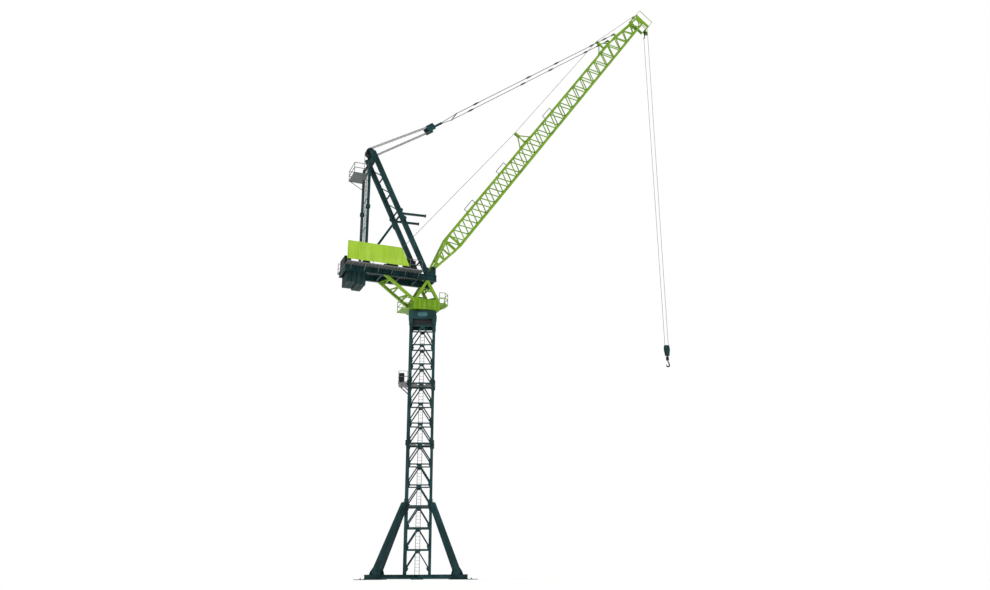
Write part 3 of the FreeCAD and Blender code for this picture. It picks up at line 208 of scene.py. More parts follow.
def grating(name, colour, opening_shade):
    """Open floor grating: bearing bars one way, and fewer cross bars the other way, with painted shade in the
    openings.
    """
    material, tree, shader, place = new_finish(name, 0.6, 0.4)
    bars = between(tree, wave(tree, place, "Y", 5.5), 0.35, 0.55)
    cross = between(tree, wave(tree, place, "X", 2.0), 0.80, 0.95)
    both = tree.nodes.new("ShaderNodeMath")
    both.operation = "MAXIMUM"
    tree.links.new(bars, both.inputs[0])
    tree.links.new(cross, both.inputs[1])
    # The openings between the bars get the dark colour: painted shade for the space seen through them.
    tree.links.new(mixed(tree, both.outputs[0], opening_shade, colour), shader.inputs["Base Color"])
    tree.links.new(between(tree, noise(tree, place, 14.0, 4), 0.3, 0.7, 0.4, 0.7), shader.inputs["Roughness"])
    bumped(tree, shader, both.outputs[0], 0.5, 0.006)
    return material


FINISHES = {
    "green_paint": paint("lime green paint", srgb(118, 164, 18), srgb(136, 178, 48), srgb(70, 92, 30)),
    "teal_paint": paint("dark teal paint", srgb(16, 50, 51), srgb(34, 74, 76), srgb(10, 24, 24), 0.46, 0.2),
    "pale_teal": paint("faded teal cover", srgb(58, 100, 104), srgb(76, 118, 122), srgb(30, 60, 62),
                       0.5, 0.2),
    "lime_panel": paint("pale lime panel", srgb(166, 207, 52), srgb(178, 215, 76), srgb(128, 158, 56)),
    "wire_rope": strands("greased wire rope", srgb(118, 122, 122), srgb(52, 54, 54)),
    "dark_steel": paint("dark machinery paint", srgb(24, 28, 29), srgb(42, 48, 48), srgb(12, 12, 11),
                        0.4, 0.2),
    "galvanised": metal("galvanised steel", srgb(150, 154, 152), srgb(112, 118, 118), 0.42),
    "concrete_weight": paint("painted ballast", srgb(16, 38, 39), srgb(30, 56, 56), srgb(12, 20, 20),
                             0.6, 0.2),
    # The grating's second colour is painted shade in its openings.
    "grating": grating("open grating", srgb(140, 144, 142), srgb(34, 40, 40)),
    "bare_steel": metal("worn bare steel", srgb(128, 126, 120), srgb(84, 80, 74), 0.3, 0.9),
}
GRATED = ("deck_floors", "mast_platforms")
TWO_TONE = ("access_platforms", "guard_rails")


def two_tone(name, level, low, high):
    """Paint that changes colour at a height: green round the turntable, grey steel from the deck up."""
    material, tree, shader, place = new_finish(name, 0.0, 0.3)
    height = tree.nodes.new("ShaderNodeSeparateXYZ")
    tree.links.new(place.outputs["Object"], height.inputs["Vector"])
    above = between(tree, height.outputs["Z"], level - 0.01, level + 0.01)
    worn = between(tree, noise(tree, place, 22.0, 4), 0.5, 0.75, 0.0, 0.6)
    green = mixed(tree, worn, low, srgb(84, 112, 30))
    grey = tree.nodes.new("ShaderNodeMix")
    grey.data_type = "RGBA"
    grey.inputs[7].default_value = high
    tree.links.new(above, grey.inputs[0])
    tree.links.new(green, grey.inputs[6])
    tree.links.new(grey.outputs[2], shader.inputs["Base Color"])
    tree.links.new(between(tree, worn, 0.0, 0.6, 0.4, 0.65), shader.inputs["Roughness"])
    bumped(tree, shader, noise(tree, place, 140.0, 2), 0.12, 0.002)
    return material


def finish_cad_nodes():
    rails = two_tone("platform paint", DECK_Z, srgb(118, 164, 18), srgb(92, 100, 98))
    for part in frame["record"]["subparts"]:
        node = part["node"]
        finish = FINISHES["grating" if node in GRATED else part["material_slot"]]
        data = frame["nodes"][node].data
        data.materials.clear()
        data.materials.append(rails if node in TWO_TONE else finish)


# ================================================================ mesh tools
def square_to(direction, hint=UP):
    """Two unit vectors square to direction and to each other, the first one square to hint as well."""
    line = Vector(direction).normalized()
    hint = Vector(hint)
    if abs(line.dot(hint.normalized())) > 0.98:
        hint = Vector((1, 0, 0))
    first = line.cross(hint).normalized()
    return first, first.cross(line).normalized()


def circle(centre, direction, radius, sides, hint=UP):
    u, v = square_to(direction, hint)
    steps = [2 * math.pi * n / sides for n in range(sides)]
    return [Vector(centre) + u * (radius * math.cos(a)) + v * (radius * math.sin(a)) for a in steps]


class Shape:
    """A mesh in the making. Points go through self.at, so a repeated sub-part has its own axes."""

    def __init__(self):
        self.mesh = bmesh.new()
        self.at = Matrix.Identity(4)

    def loft(self, rings, smooth=False, closed=False):
        """Solid through rings of points; closed joins the last ring to the first."""
        rows = [[self.mesh.verts.new(self.at @ Vector(p)) for p in ring] for ring in rings]
        follow = rows[1:] + rows[:1] if closed else rows[1:]
        for low, high in zip(rows, follow):
            for n in range(len(low)):
                m = (n + 1) % len(low)
                self.mesh.faces.new((low[n], low[m], high[m], high[n])).smooth = smooth
        if not closed:
            self.mesh.faces.new(rows[0][::-1])
            self.mesh.faces.new(rows[-1])

    def beam(self, a, b, width, height, hint=UP):
        """Bar with small chamfers; width is square to hint, height lies towards it."""
        a, b = Vector(a), Vector(b)
        u, v = square_to(b - a, hint)
        w, h, c = width / 2, height / 2, min(width, height) * 0.12
        corners = ((w - c, h), (w, h - c), (w, c - h), (w - c, -h), (c - w, -h), (-w, c - h), (-w, h - c),
                   (c - w, h))
        self.loft([[end + u * x + v * y for x, y in corners] for end in (a, b)])

    def tube(self, a, b, radius, sides=12, end_radius=None):
        a, b = Vector(a), Vector(b)
        last = radius if end_radius is None else end_radius
        self.loft([circle(a, b - a, radius, sides), circle(b, b - a, last, sides)], smooth=True)

    def turning(self, foot, axis, profile, sides=20):
        """Turned part: profile gives (distance along axis, radius) pairs."""
        axis = Vector(axis).normalized()
        self.loft([circle(Vector(foot) + axis * d, axis, r, sides) for d, r in profile])

    def sweep(self, points, radius, sides=6, closed=False):
        """Round rod along points; radius is a number, or one number a point."""
        points = [Vector(p) for p in points]
        radii = radius if isinstance(radius, list) else [radius] * len(points)
        rings = []
        for n, p in enumerate(points):
            before = points[n - 1] if n or closed else p
            after = points[(n + 1) % len(points)] if n + 1 < len(points) or closed else p
            rings.append(circle(p, after - before, radii[n], sides, SIDE))
        self.loft(rings, smooth=True, closed=closed)

    def plate(self, outline, thickness, shift=0.0):
        """Flat plate; shift moves it along its normal."""
        outline = [Vector(p) for p in outline]
        normal = (outline[1] - outline[0]).cross(outline[2] - outline[1]).normalized()
        low, high = shift - thickness / 2, shift + thickness / 2
        self.loft([[p + normal * low for p in outline], [p + normal * high for p in outline]])

    def block(self, low, high, chamfer):
        """Box with chamfered edges all round."""
        (x0, y0, z0), (x1, y1, z1) = low, high
        c = chamfer

        def ring(z, inset):
            i = inset
            return [(x0 + i + c, y0 + i, z), (x1 - i - c, y0 + i, z), (x1 - i, y0 + i + c, z),
                    (x1 - i, y1 - i - c, z), (x1 - i - c, y1 - i, z), (x0 + i + c, y1 - i, z),
                    (x0 + i, y1 - i - c, z), (x0 + i, y0 + i + c, z)]
        self.loft([ring(z0, c), ring(z0 + c, 0), ring(z1 - c, 0), ring(z1, c)])

    def bolt(self, foot, axis, size):
        """Hexagon head on a washer; size is across the head's corners."""
        axis = Vector(axis).normalized()
        foot = Vector(foot)
        base, top = foot + axis * size * 0.12, foot + axis * size * 0.62
        self.loft([circle(foot, axis, size * 0.62, 12), circle(base, axis, size * 0.62, 12)])
        self.loft([circle(base, axis, size / 2, 6), circle(top, axis, size / 2, 6),
                   circle(top + axis * size * 0.08, axis, size * 0.4, 6)])


def mesh_object(shape, name, slot, finish=None):
    bmesh.ops.recalc_face_normals(shape.mesh, faces=shape.mesh.faces)
    data = bpy.data.meshes.new(name)
    shape.mesh.to_mesh(data)
    shape.mesh.free()
    data.materials.append(FINISHES[finish or slot])
    thing = bpy.data.objects.new(name, data)
    bpy.context.scene.collection.objects.link(thing)
    return thing


def fitted(shape, name, body, slot, finish=None):
    """Turns a finished shape into a piece that rides on body."""
    thing = mesh_object(shape, name, slot, finish)
    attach(thing, body)
    return thing


def turned(quarters=0.0):
    """The mast's own axes, which stand turned against the jib's; quarters picks one of its sides."""
    return Matrix.Rotation(MAST_TURN + quarters * math.pi / 2, 4, "Z")


# ================================================================ base and mast
def base_fittings():
    feet, bolts = Shape(), Shape()
    for arm in range(4):
        feet.at = bolts.at = turned(arm + 0.5)
        for s in (-1, 1):
            y = s * (STRUT_W / 2 + 0.03 * M)
            feet.plate([(FOOT_RADIUS - 0.55 * M, y, ARM_TOP), (FOOT_RADIUS + 0.28 * M, y, ARM_TOP),
                        (FOOT_RADIUS + 0.20 * M, y, ARM_TOP + 0.22 * M),
                        (FOOT_RADIUS - 0.16 * M, y, ARM_TOP + 0.62 * M),
                        (FOOT_RADIUS - 0.36 * M, y, ARM_TOP + 0.50 * M)], 0.05 * M)
            bolts.turning((FOOT_RADIUS - 0.16 * M, y, ARM_TOP + 0.32 * M), (0, s, 0),
                          ((0, 0.10 * M), (0.05 * M, 0.10 * M), (0.06 * M, 0.08 * M)))
            for n in range(5):
                x = 1.6 * M + n * 0.72 * M
                feet.plate([(x, s * ARM_W * 0.5, 0.07 * M), (x, s * (ARM_W * 0.5 + 0.03 * M), 0.07 * M),
                            (x, s * (ARM_W * 0.5 + 0.03 * M), ARM_TOP - 0.03 * M),
                            (x, s * ARM_W * 0.5, ARM_TOP - 0.03 * M)], 0.03 * M)
        bolts.turning((ANCHOR_RADIUS, 0, PLATE_T), UP,
                      ((0, 0.07 * M), (0.02 * M, 0.07 * M), (0.021 * M, 0.05 * M), (0.07 * M, 0.05 * M),
                       (0.071 * M, 0.025 * M), (0.12 * M, 0.025 * M)), 12)
    fitted(feet, "base_foot_gussets", "mast_and_base", "teal_paint")
    fitted(bolts, "base_pins_and_anchors", "mast_and_base", "dark_steel")


def mast_gussets():
    """Plates where the K-braces meet, at mid-face and at the legs."""
    plates = Shape()
    y = -(MAST_W - LEG) / 2 - BRACE / 2
    inner = MAST_W / 2 - LEG
    for side in range(4):
        plates.at = turned(side)
        for bay in range(BAYS):
            low, high = MAST_FOOT + bay * BAY + BRACE, MAST_FOOT + (bay + 1) * BAY - BRACE / 2
            plates.plate([(-0.26 * M, y, high + BRACE / 2), (0.26 * M, y, high + BRACE / 2),
                          (0.26 * M, y, high - 0.08 * M), (0.10 * M, y, high - 0.26 * M),
                          (-0.10 * M, y, high - 0.26 * M), (-0.26 * M, y, high - 0.08 * M)], 0.03 * M)
            for s in (-1, 1):
                plates.plate([(s * inner, y, low - 0.14 * M), (s * (inner - 0.10 * M), y, low - 0.05 * M),
                              (s * (inner - 0.17 * M), y, low + 0.16 * M), (s * inner, y, low + 0.34 * M)],
                             0.03 * M)
    fitted(plates, "mast_gussets", "mast_and_base", "teal_paint")


def mast_joint_bolts():
    """Bolt heads on the leg sleeves at the section joints."""
    bolts = Shape()
    centre = (MAST_W - LEG) / 2
    for side in range(4):
        bolts.at = turned(side)
        for joint in range(1, BAYS // SECTION_BAYS):
            z = MAST_FOOT + joint * SECTION_BAYS * BAY
            for s in (-1, 1):
                for row in (-0.17, -0.06, 0.06, 0.17):
                    for column in (-0.09, 0.09):
                        foot = (s * centre + column * M, -centre - COLLAR / 2, z + row * M)
                        bolts.bolt(foot, (0, -1, 0), 0.07 * M)
    fitted(bolts, "mast_joint_bolts", "mast_and_base", "dark_steel")


def mast_foot_shoes():
    """Pin lugs and stiffeners where each knee strut meets its mast leg."""
    shoes = Shape()
    reach = (MAST_W - LEG) / math.sqrt(2) + COLLAR / math.sqrt(2)
    slope = (FOOT_RADIUS - reach) / (STRUT_TOP - ARM_TOP)
    for arm in range(4):
        shoes.at = turned(arm + 0.5)
        for s in (-1, 1):
            y = s * (STRUT_W / 2 + 0.02 * M)
            outline = []
            for drop, out in ((0.45, -0.16), (0.98, -0.12), (0.98, 0.14), (0.10, 0.14), (-0.20, -0.02)):
                outline.append((reach + (drop * slope + out) * M, y, STRUT_TOP - drop * M))
            shoes.plate(outline, 0.04 * M)
            shoes.turning((reach + 0.5 * slope * M, y, STRUT_TOP - 0.50 * M), (0, s, 0),
                          ((0, 0.11 * M), (0.06 * M, 0.11 * M), (0.07 * M, 0.09 * M)))
    fitted(shoes, "strut_head_shoes", "mast_and_base", "teal_paint")


def side_platform_rail():
    """Thin rail round the mast's outside platform."""
    rail = Shape()
    rail.at = turned()
    floor = MAST_FOOT + 3 * SECTION_BAYS * BAY + 0.05 * M
    outer, half, r = -MAST_W / 2 - 0.90 * M, MAST_W / 2 - 0.14 * M, 0.02 * M
    inner = -MAST_W / 2 - 0.06 * M
    corners = [(inner, -half), (outer, -half), (outer, half), (inner, half)]
    for x, y in corners:
        rail.tube((x, y, floor), (x, y, floor + 1.08 * M), r, 8)
    for height in (0.55 * M, 1.08 * M):
        for (x0, y0), (x1, y1) in zip(corners, corners[1:]):
            rail.tube((x0, y0, floor + height), (x1, y1, floor + height), r, 8)
    fitted(rail, "side_platform_rail", "mast_and_base", "galvanised")


def oval(x, z, width, height, count=28):
    """Outline of a racetrack opening on a face whose normal is along y."""
    radius = height / 2
    straight = width / 2 - radius
    points = []
    for n in range(count):
        a = 2 * math.pi * n / count
        shift = math.copysign(straight, math.cos(a))
        points.append((x + radius * math.cos(a) + shift, z + radius * math.sin(a)))
    return points


def support_fittings():
    """Oval inspection covers on the slewing support, their bolts, the ring's bolt circles, and painted shade
    below.
    """
    covers, bolts, lids, shades = Shape(), Shape(), Shape(), Shape()
    half = SUPPORT_HALF
    z = SUPPORT_TOP - 0.42 * M
    for side in range(4):
        covers.at = bolts.at = lids.at = shades.at = turned(side)
        rim = [(x, -half - 0.012 * M, zz) for x, zz in oval(0, z, 1.20 * M, 0.58 * M)]
        lid = [(x, -half - 0.03 * M, zz) for x, zz in oval(0, z, 1.00 * M, 0.40 * M)]
        covers.plate(rim, 0.024 * M)
        lids.plate(lid, 0.08 * M)
        for x, zz in oval(0, z, 1.10 * M, 0.49 * M, 14):
            bolts.bolt((x, -half - 0.024 * M, zz), (0, -1, 0), 0.035 * M)
        for s in (-1, 1):
            edge = s * 0.95 * M
            covers.beam((edge, -half, z - 0.38 * M), (edge, -half, z + 0.38 * M), 0.10 * M, 0.04 * M, SIDE)
        # Dark sheets between the mast legs under the support: painted shade, standing for the shadowed inside of
        # the mast top.
        skirt = (MAST_W - LEG) / 2 + 0.006 * M
        shades.block((-1.0 * M, -skirt - 0.006 * M, MAST_TOP + 0.10 * M),
                     (1.0 * M, -skirt + 0.006 * M, MAST_TOP + 0.60 * M), 0.002 * M)
    bolts.at = Matrix.Identity(4)
    for n in range(36):
        a = 2 * math.pi * n / 36
        bolts.bolt((1.21 * M * math.cos(a), 1.21 * M * math.sin(a), SUPPORT_TOP), UP, 0.05 * M)
    fitted(covers, "support_covers", "mast_and_base", "teal_paint")
    fitted(lids, "support_lids", "mast_and_base", "teal_paint", "pale_teal")
    # The dark sheets under the support are painted shade, not real liners.
    fitted(shades, "support_neck_painted_shade", "mast_and_base", "dark_steel")
    fitted(bolts, "support_bolts", "mast_and_base", "dark_steel")


# ================================================================ deck
def girder_stiffeners():
    """Upright ribs on the outside of the deck girders, and bolt groups at their splices."""
    ribs, bolts = Shape(), Shape()
    count = 11
    depth = (GIRDER_W - FLANGE_T) / 2
    for s in (-1, 1):
        web = s * (GIRDER_Y + FLANGE_T / 2)
        for n in range(count):
            x = DECK_REAR + 0.18 * M + n * (DECK_FRONT - DECK_REAR - 0.36 * M) / (count - 1)
            edge = web + s * depth
            ribs.plate([(x, web, DECK_Z + FLANGE_T), (x, edge, DECK_Z + FLANGE_T),
                        (x, edge, DECK_TOP - FLANGE_T), (x, web, DECK_TOP - FLANGE_T)], 0.03 * M)
        for x in (DECK_REAR + 3.2 * M, DECK_REAR + 6.4 * M):
            for row in range(4):
                for column in range(6):
                    foot = (x + column * 0.08 * M, web, DECK_Z + (0.13 + row * 0.12) * M)
                    bolts.bolt(foot, (0, s, 0), 0.045 * M)
    fitted(ribs, "girder_stiffeners", "slewing_platform", "teal_paint")
    fitted(bolts, "girder_splice_bolts", "slewing_platform", "dark_steel")


def panel_frame():
    """Edge frame, upright ribs and rivets of the near side panel, which is left bare of lettering."""
    low, high = (Vector(corner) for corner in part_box("side_panel"))
    y = low.y
    frame_bars, rivets = Shape(), Shape()
    slope = 0.80 * M
    corners = [Vector((low.x, y, low.z)), Vector((high.x, y, low.z)),
               Vector((high.x - slope, y, high.z)), Vector((low.x, y, high.z))]
    centre = sum(corners, Vector()) / 4
    inset = [p + (centre - p).normalized() * 0.04 * M for p in corners]
    for a, b in zip(inset, inset[1:] + inset[:1]):
        frame_bars.beam(a, b, 0.03 * M, 0.06 * M, (b - a).cross(SIDE))
    count = 5
    for n in range(1, count):
        x = low.x + n * (high.x - slope - low.x) / count
        for z in range(9):
            rivets.turning((x, y, low.z + 0.12 * M + z * (high.z - low.z - 0.24 * M) / 8), (0, -1, 0),
                           ((0, 0.018 * M), (0.006 * M, 0.015 * M), (0.010 * M, 0.006 * M)), 8)
        back = high.y
        frame_bars.beam((x, back, low.z + 0.05 * M), (x, back, high.z - 0.05 * M), 0.05 * M, 0.04 * M, SIDE)
    fitted(frame_bars, "panel_frame", "slewing_platform", "lime_panel")
    fitted(rivets, "panel_rivets", "slewing_platform", "lime_panel")


def toe_boards():
    """Kick plates along the outer edges of the walkways."""
    boards = Shape()
    height, front = 0.12 * M, -0.77 * M
    z = DECK_TOP + height / 2
    for s in (-1, 1):
        y = s * (WALK_OUTER - 0.02 * M)
        boards.beam((DECK_REAR + 0.02 * M, y, z), (front, y, z), 0.015 * M, height)
    fitted(boards, "toe_boards", "slewing_platform", "galvanised")


def cabinet_fronts():
    """Doors, louvres, hinges and handles on the deck cabinets."""
    doors, fittings = Shape(), Shape()
    near = -0.90 * M
    for x0, x1, height in ((-2.30, -1.75, 1.55), (-1.70, -1.15, 1.35)):
        left, right = x0 * M + 0.05 * M, x1 * M - 0.05 * M
        foot, top = DECK_TOP + 0.10 * M, DECK_TOP + height * M - 0.06 * M
        doors.block((left, near - 0.025 * M, foot), (right, near + 0.005 * M, top), 0.006 * M)
        for n in range(7):
            z = foot + 0.12 * M + n * 0.05 * M
            fittings.beam((left + 0.07 * M, near - 0.035 * M, z), (right - 0.07 * M, near - 0.035 * M, z),
                          0.03 * M, 0.02 * M)
        handle, middle = right - 0.06 * M, (foot + top) / 2
        fittings.beam((handle, near - 0.04 * M, middle - 0.07 * M),
                      (handle, near - 0.04 * M, middle + 0.07 * M), 0.03 * M, 0.02 * M, SIDE)
        for z in (foot + 0.15 * M, top - 0.15 * M):
            fittings.tube((left, near - 0.03 * M, z - 0.04 * M), (left, near - 0.03 * M, z + 0.04 * M),
                          0.014 * M)
        doors.block((x0 * M - 0.03 * M, near - 0.04 * M, top + 0.05 * M),
                    (x1 * M + 0.03 * M, -0.12 * M, top + 0.085 * M), 0.008 * M)
    rear = DECK_REAR + 0.62 * M
    for n in range(3):
        y0 = (-0.90 + n * 0.61) * M
        doors.block((rear - 0.005 * M, y0, DECK_TOP + 0.08 * M),
                    (rear + 0.025 * M, y0 + 0.57 * M, DECK_TOP + 0.88 * M), 0.006 * M)
        for row in range(6):
            z = DECK_TOP + (0.55 + row * 0.045) * M
            fittings.beam((rear + 0.03 * M, y0 + 0.08 * M, z), (rear + 0.03 * M, y0 + 0.49 * M, z),
                          0.02 * M, 0.015 * M)
    fitted(doors, "cabinet_doors", "slewing_platform", "dark_steel")
    fitted(fittings, "cabinet_fittings", "slewing_platform", "galvanised")


def helix(centre, radius, y0, y1):
    """Rope wound side by side on a drum whose axis is along y."""
    turns = int((y1 - y0) / (2 * ROPE_R))
    steps = 20
    points = []
    for n in range(turns * steps + 1):
        a = 2 * math.pi * n / steps
        y = y0 + ROPE_R + (y1 - y0 - 2 * ROPE_R) * n / (turns * steps)
        points.append((centre.x + radius * math.cos(a), y, centre.z + radius * math.sin(a)))
    return points


def winch_fittings():
    """Rope wound on both drums, their bearing caps and bolts, and the hoist winch's ribbed motor."""
    windings = Shape()
    windings.sweep(helix(DRUM_PIN, DRUM_R, -0.52 * M, 0.52 * M), ROPE_R, 6)
    fitted(windings, "hoist_drum_windings", "winding_drum", "wire_rope")
    luffing = Vector((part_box("luffing_lead_rope")[0][0] + ROPE_R + LUFFING_DRUM_R, 0, DECK_TOP + 0.55 * M))
    windings = Shape()
    windings.sweep(helix(luffing, LUFFING_DRUM_R, -0.60 * M, 0.60 * M), ROPE_R, 6)
    fitted(windings, "luffing_drum_windings", "slewing_platform", "wire_rope")
    gears, bolts = Shape(), Shape()
    for centre, wall, radius in ((DRUM_PIN, 0.66 * M, 0.26 * M), (luffing, 0.75 * M, 0.24 * M)):
        for s in (-1, 1):
            foot = Vector((centre.x, s * wall, centre.z))
            gears.turning(foot, (0, s, 0), ((0, radius), (0.05 * M, radius), (0.06 * M, radius * 0.8),
                                            (0.12 * M, radius * 0.75), (0.14 * M, radius * 0.4)), 28)
            for n in range(10):
                a = 2 * math.pi * n / 10
                spoke = Vector((radius * 0.9 * math.cos(a), s * 0.05 * M, radius * 0.9 * math.sin(a)))
                bolts.bolt(foot + spoke, (0, s, 0), 0.04 * M)
    profile = [(0, 0.10 * M), (0.03 * M, 0.15 * M)]
    for n in range(9):
        start = 0.06 * M + n * 0.05 * M
        profile += [(start, 0.15 * M), (start + 0.001 * M, 0.17 * M), (start + 0.02 * M, 0.17 * M),
                    (start + 0.021 * M, 0.15 * M)]
    profile += [(0.54 * M, 0.15 * M), (0.60 * M, 0.11 * M)]
    gears.turning((DRUM_PIN.x + 0.60 * M, 0.78 * M, DECK_TOP + 0.24 * M), (1, 0, 0), profile, 24)
    gears.block((DRUM_PIN.x + 0.62 * M, 0.66 * M, DECK_TOP),
                (DRUM_PIN.x + 1.14 * M, 0.90 * M, DECK_TOP + 0.08 * M), 0.01 * M)
    fitted(gears, "winch_gears_and_motor", "slewing_platform", "dark_steel")
    fitted(bolts, "winch_bolts", "slewing_platform", "galvanised")


def counterweight_fittings():
    """Lifting eyes, bolts and hanger straps on the ballast slabs."""
    straps, eyes = Shape(), Shape()
    low, high = (Vector(corner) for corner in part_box("counterweights"))
    for n in range(4):
        x = DECK_REAR + (0.30 + n * 0.46 + 0.21) * M
        foot = DECK_Z - 1.05 * M * (1.0 if n < 2 else 1.15)
        for s in (-1, 1):
            y = low.y if s < 0 else high.y
            straps.beam((x, y + s * 0.01 * M, foot + 0.04 * M), (x, y + s * 0.01 * M, DECK_Z - 0.02 * M),
                        0.14 * M, 0.03 * M, SIDE)
            centre = Vector((x, y + s * 0.03 * M, foot + 0.24 * M))
            eyes.sweep(circle(centre, (0, 1, 0), 0.06 * M, 16), 0.014 * M, 6, closed=True)
            for z in (foot + 0.45 * M, foot + 0.75 * M):
                eyes.bolt((x, y + s * 0.025 * M, z), (0, s, 0), 0.06 * M)
    fitted(straps, "ballast_straps", "slewing_platform", "teal_paint")
    fitted(eyes, "ballast_eyes", "slewing_platform", "dark_steel")


def turntable_fittings():
    """Inspection covers and their bolts along the turntable's sides."""
    bolts, hatches = Shape(), Shape()
    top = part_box("turntable")[1][2]
    for s in (-1, 1):
        y = s * TURNTABLE_HALF
        for n in range(4):
            x = (-0.78 + n * 0.52) * M
            hatches.block((x - 0.17 * M, min(y, y + s * 0.02 * M), top - 0.82 * M),
                          (x + 0.17 * M, max(y, y + s * 0.02 * M), top - 0.28 * M), 0.006 * M)
            for dx in (-0.14, 0.14):
                for dz in (-0.78, -0.32):
                    bolts.bolt((x + dx * M, y + s * 0.02 * M, top + dz * M), (0, s, 0), 0.03 * M)
    fitted(hatches, "turntable_covers", "slewing_platform", "green_paint")
    fitted(bolts, "turntable_bolts", "slewing_platform", "galvanised")


# ================================================================ A-frame
def a_frame_fittings():
    """Foot shoes, head pin bosses, and plates where the braces meet the front legs."""
    plates, bolts = Shape(), Shape()
    foot_x, head = 0.0, Vector((HEAD_PIN.x, 0, HEAD_PIN.z - 0.25 * M))
    lean = (head - Vector((foot_x, 0, DECK_TOP))).normalized()
    across = Vector((lean.z, 0, -lean.x))
    for s in (-1, 1):
        y = s * (AFRAME_Y + FRONT_LEG_W / 2 + 0.012 * M)
        for rise, size in ((0.45 * M, 0.30 * M), (5.6 * M, 0.34 * M), (6.4 * M, 0.30 * M),
                           (11.6 * M, 0.28 * M)):
            p = Vector((foot_x, y, DECK_TOP)) + lean * (rise / lean.z)
            nose = 0.40 * M if rise < 11 * M else 0.10 * M
            outline = [p - lean * size + across * 0.16 * M, p + across * nose,
                       p + lean * size + across * 0.16 * M, p + lean * size - across * 0.18 * M,
                       p - across * 0.34 * M, p - lean * size - across * 0.18 * M]
            plates.plate(outline, 0.024 * M)
            for k in (-0.6, 0.0, 0.6):
                bolts.bolt(p + lean * size * k + Vector((0, s * 0.012 * M, 0)), (0, s, 0), 0.06 * M)
        pin = Vector((HEAD_PIN.x, s * HEAD_BOSS_Y, HEAD_PIN.z))
        plates.turning(pin, (0, s, 0), ((0, 0.15 * M), (0.04 * M, 0.15 * M), (0.06 * M, 0.10 * M)))
        for dx in (-0.20, 0.20):
            x = foot_x + dx * M
            bolts.bolt((x, s * (AFRAME_Y + 0.20 * M), DECK_TOP), UP, 0.06 * M)
    fitted(plates, "a_frame_plates", "slewing_platform", "teal_paint")
    fitted(bolts, "a_frame_bolts", "slewing_platform", "dark_steel")


def sheave(shape, centre, radius, y, groove):
    """Rim flanges and hub of a rope sheave, on an axle along y."""
    rim = radius + ROPE_R
    profile = ((groove * 0.5, radius + ROPE_R * 0.6), (groove * 0.75, rim), (groove, rim),
               (groove, radius - 0.05 * M), (groove * 0.8, radius - 0.06 * M), (groove * 0.8, 0.10 * M),
               (groove * 1.3, 0.09 * M), (groove * 1.3, 0.05 * M))
    for s in (-1, 1):
        shape.turning((centre.x, y, centre.z), (0, s, 0), profile, 28)


# ================================================================ jib
JIB_LINE = Vector((math.cos(JIB_ANGLE), 0, math.sin(JIB_ANGLE)))
JIB_UP = Vector((-math.sin(JIB_ANGLE), 0, math.cos(JIB_ANGLE)))


def on_jib(along, up, y=0.0):
    """The point at a distance along the jib's line from its pivot, and a height above that line."""
    return PIVOT + JIB_LINE * along + JIB_UP * up + SIDE * y


def upper_at(along):
    """Height of the upper chords, which fall towards the tip over the last bays."""
    start = ROOT_LENGTH + (JIB_BAYS - TAPER_BAYS) * JIB_BAY
    drop = (JIB_DEPTH - TIP_DEPTH) * max(0.0, along - start) / (TAPER_BAYS * JIB_BAY)
    return JIB_DEPTH - LOWER_DROP - drop


def post_level(along, height):
    """Height of the sheave's centre on a rope post."""
    return upper_at(along) + CHORD / 2 + height - 0.12 * M


def jib_gussets():
    """Small plates on the outside of the chords, at every lacing node."""
    plates = Shape()
    for s in (-1, 1):
        y = s * (JIB_Y + LACING / 2)
        for n in range(1, 2 * JIB_BAYS):
            along = ROOT_LENGTH + n * JIB_BAY / 2
            level, turn = (upper_at(along), -1) if n % 2 == 0 else (-LOWER_DROP, 1)
            near, far = level + turn * 0.08 * M, level + turn * 0.21 * M
            plates.plate([on_jib(along - 0.17 * M, near, y), on_jib(along + 0.17 * M, near, y),
                          on_jib(along + 0.07 * M, far, y), on_jib(along - 0.07 * M, far, y)], 0.02 * M)
    fitted(plates, "jib_gussets", "jib", "green_paint")


def jib_connectors():
    """Pinned chord joints between the jib's sections."""
    forks, pins = Shape(), Shape()
    for bay in range(3, JIB_BAYS, 4):
        along = ROOT_LENGTH + bay * JIB_BAY
        for level in (upper_at(along), -LOWER_DROP):
            for s in (-1, 1):
                y = s * JIB_Y
                outer = y + s * (CHORD / 2 + 0.012 * M)
                forks.beam(on_jib(along - 0.22 * M, level, outer), on_jib(along + 0.22 * M, level, outer),
                           CHORD * 0.8, 0.024 * M, SIDE)
                pins.tube(on_jib(along, level, y + s * CHORD * 0.4),
                          on_jib(along, level, y + s * CHORD * 0.85), 0.045 * M)
                for k in (-1, 1):
                    foot = on_jib(along + k * 0.14 * M, level, outer + s * 0.012 * M)
                    pins.bolt(foot, (0, s, 0), 0.04 * M)
    fitted(forks, "jib_connectors", "jib", "green_paint")
    fitted(pins, "jib_connector_pins", "jib", "galvanised")


def chord_frames():
    """Small step frames that stand on the near upper chord."""
    frames = Shape()
    for along in (8.6 * M, 14.8 * M, 24.6 * M):
        y, base = -JIB_Y, upper_at(along) + CHORD / 2
        corners = [on_jib(along - 0.75 * M, base, y), on_jib(along - 0.75 * M, base + 0.42 * M, y),
                   on_jib(along + 0.75 * M, base + 0.42 * M, y), on_jib(along + 0.75 * M, base, y)]
        for a, b in zip(corners, corners[1:]):
            frames.tube(a, b, 0.035 * M, 10)
    fitted(frames, "chord_step_frames", "jib", "teal_paint")


def jib_rope_sheaves():
    """Rims and hubs for the rope sheaves on the jib."""
    rims = Shape()
    for along, height in ROPE_POSTS:
        sheave(rims, on_jib(along, post_level(along, height)), POST_SHEAVE_R - ROPE_R, 0, 0.05 * M)
    sheave(rims, TIP_PIN, TIP_SHEAVE_R - ROPE_R, 0, 0.045 * M)
    fitted(rims, "jib_sheave_rims", "jib", "dark_steel")


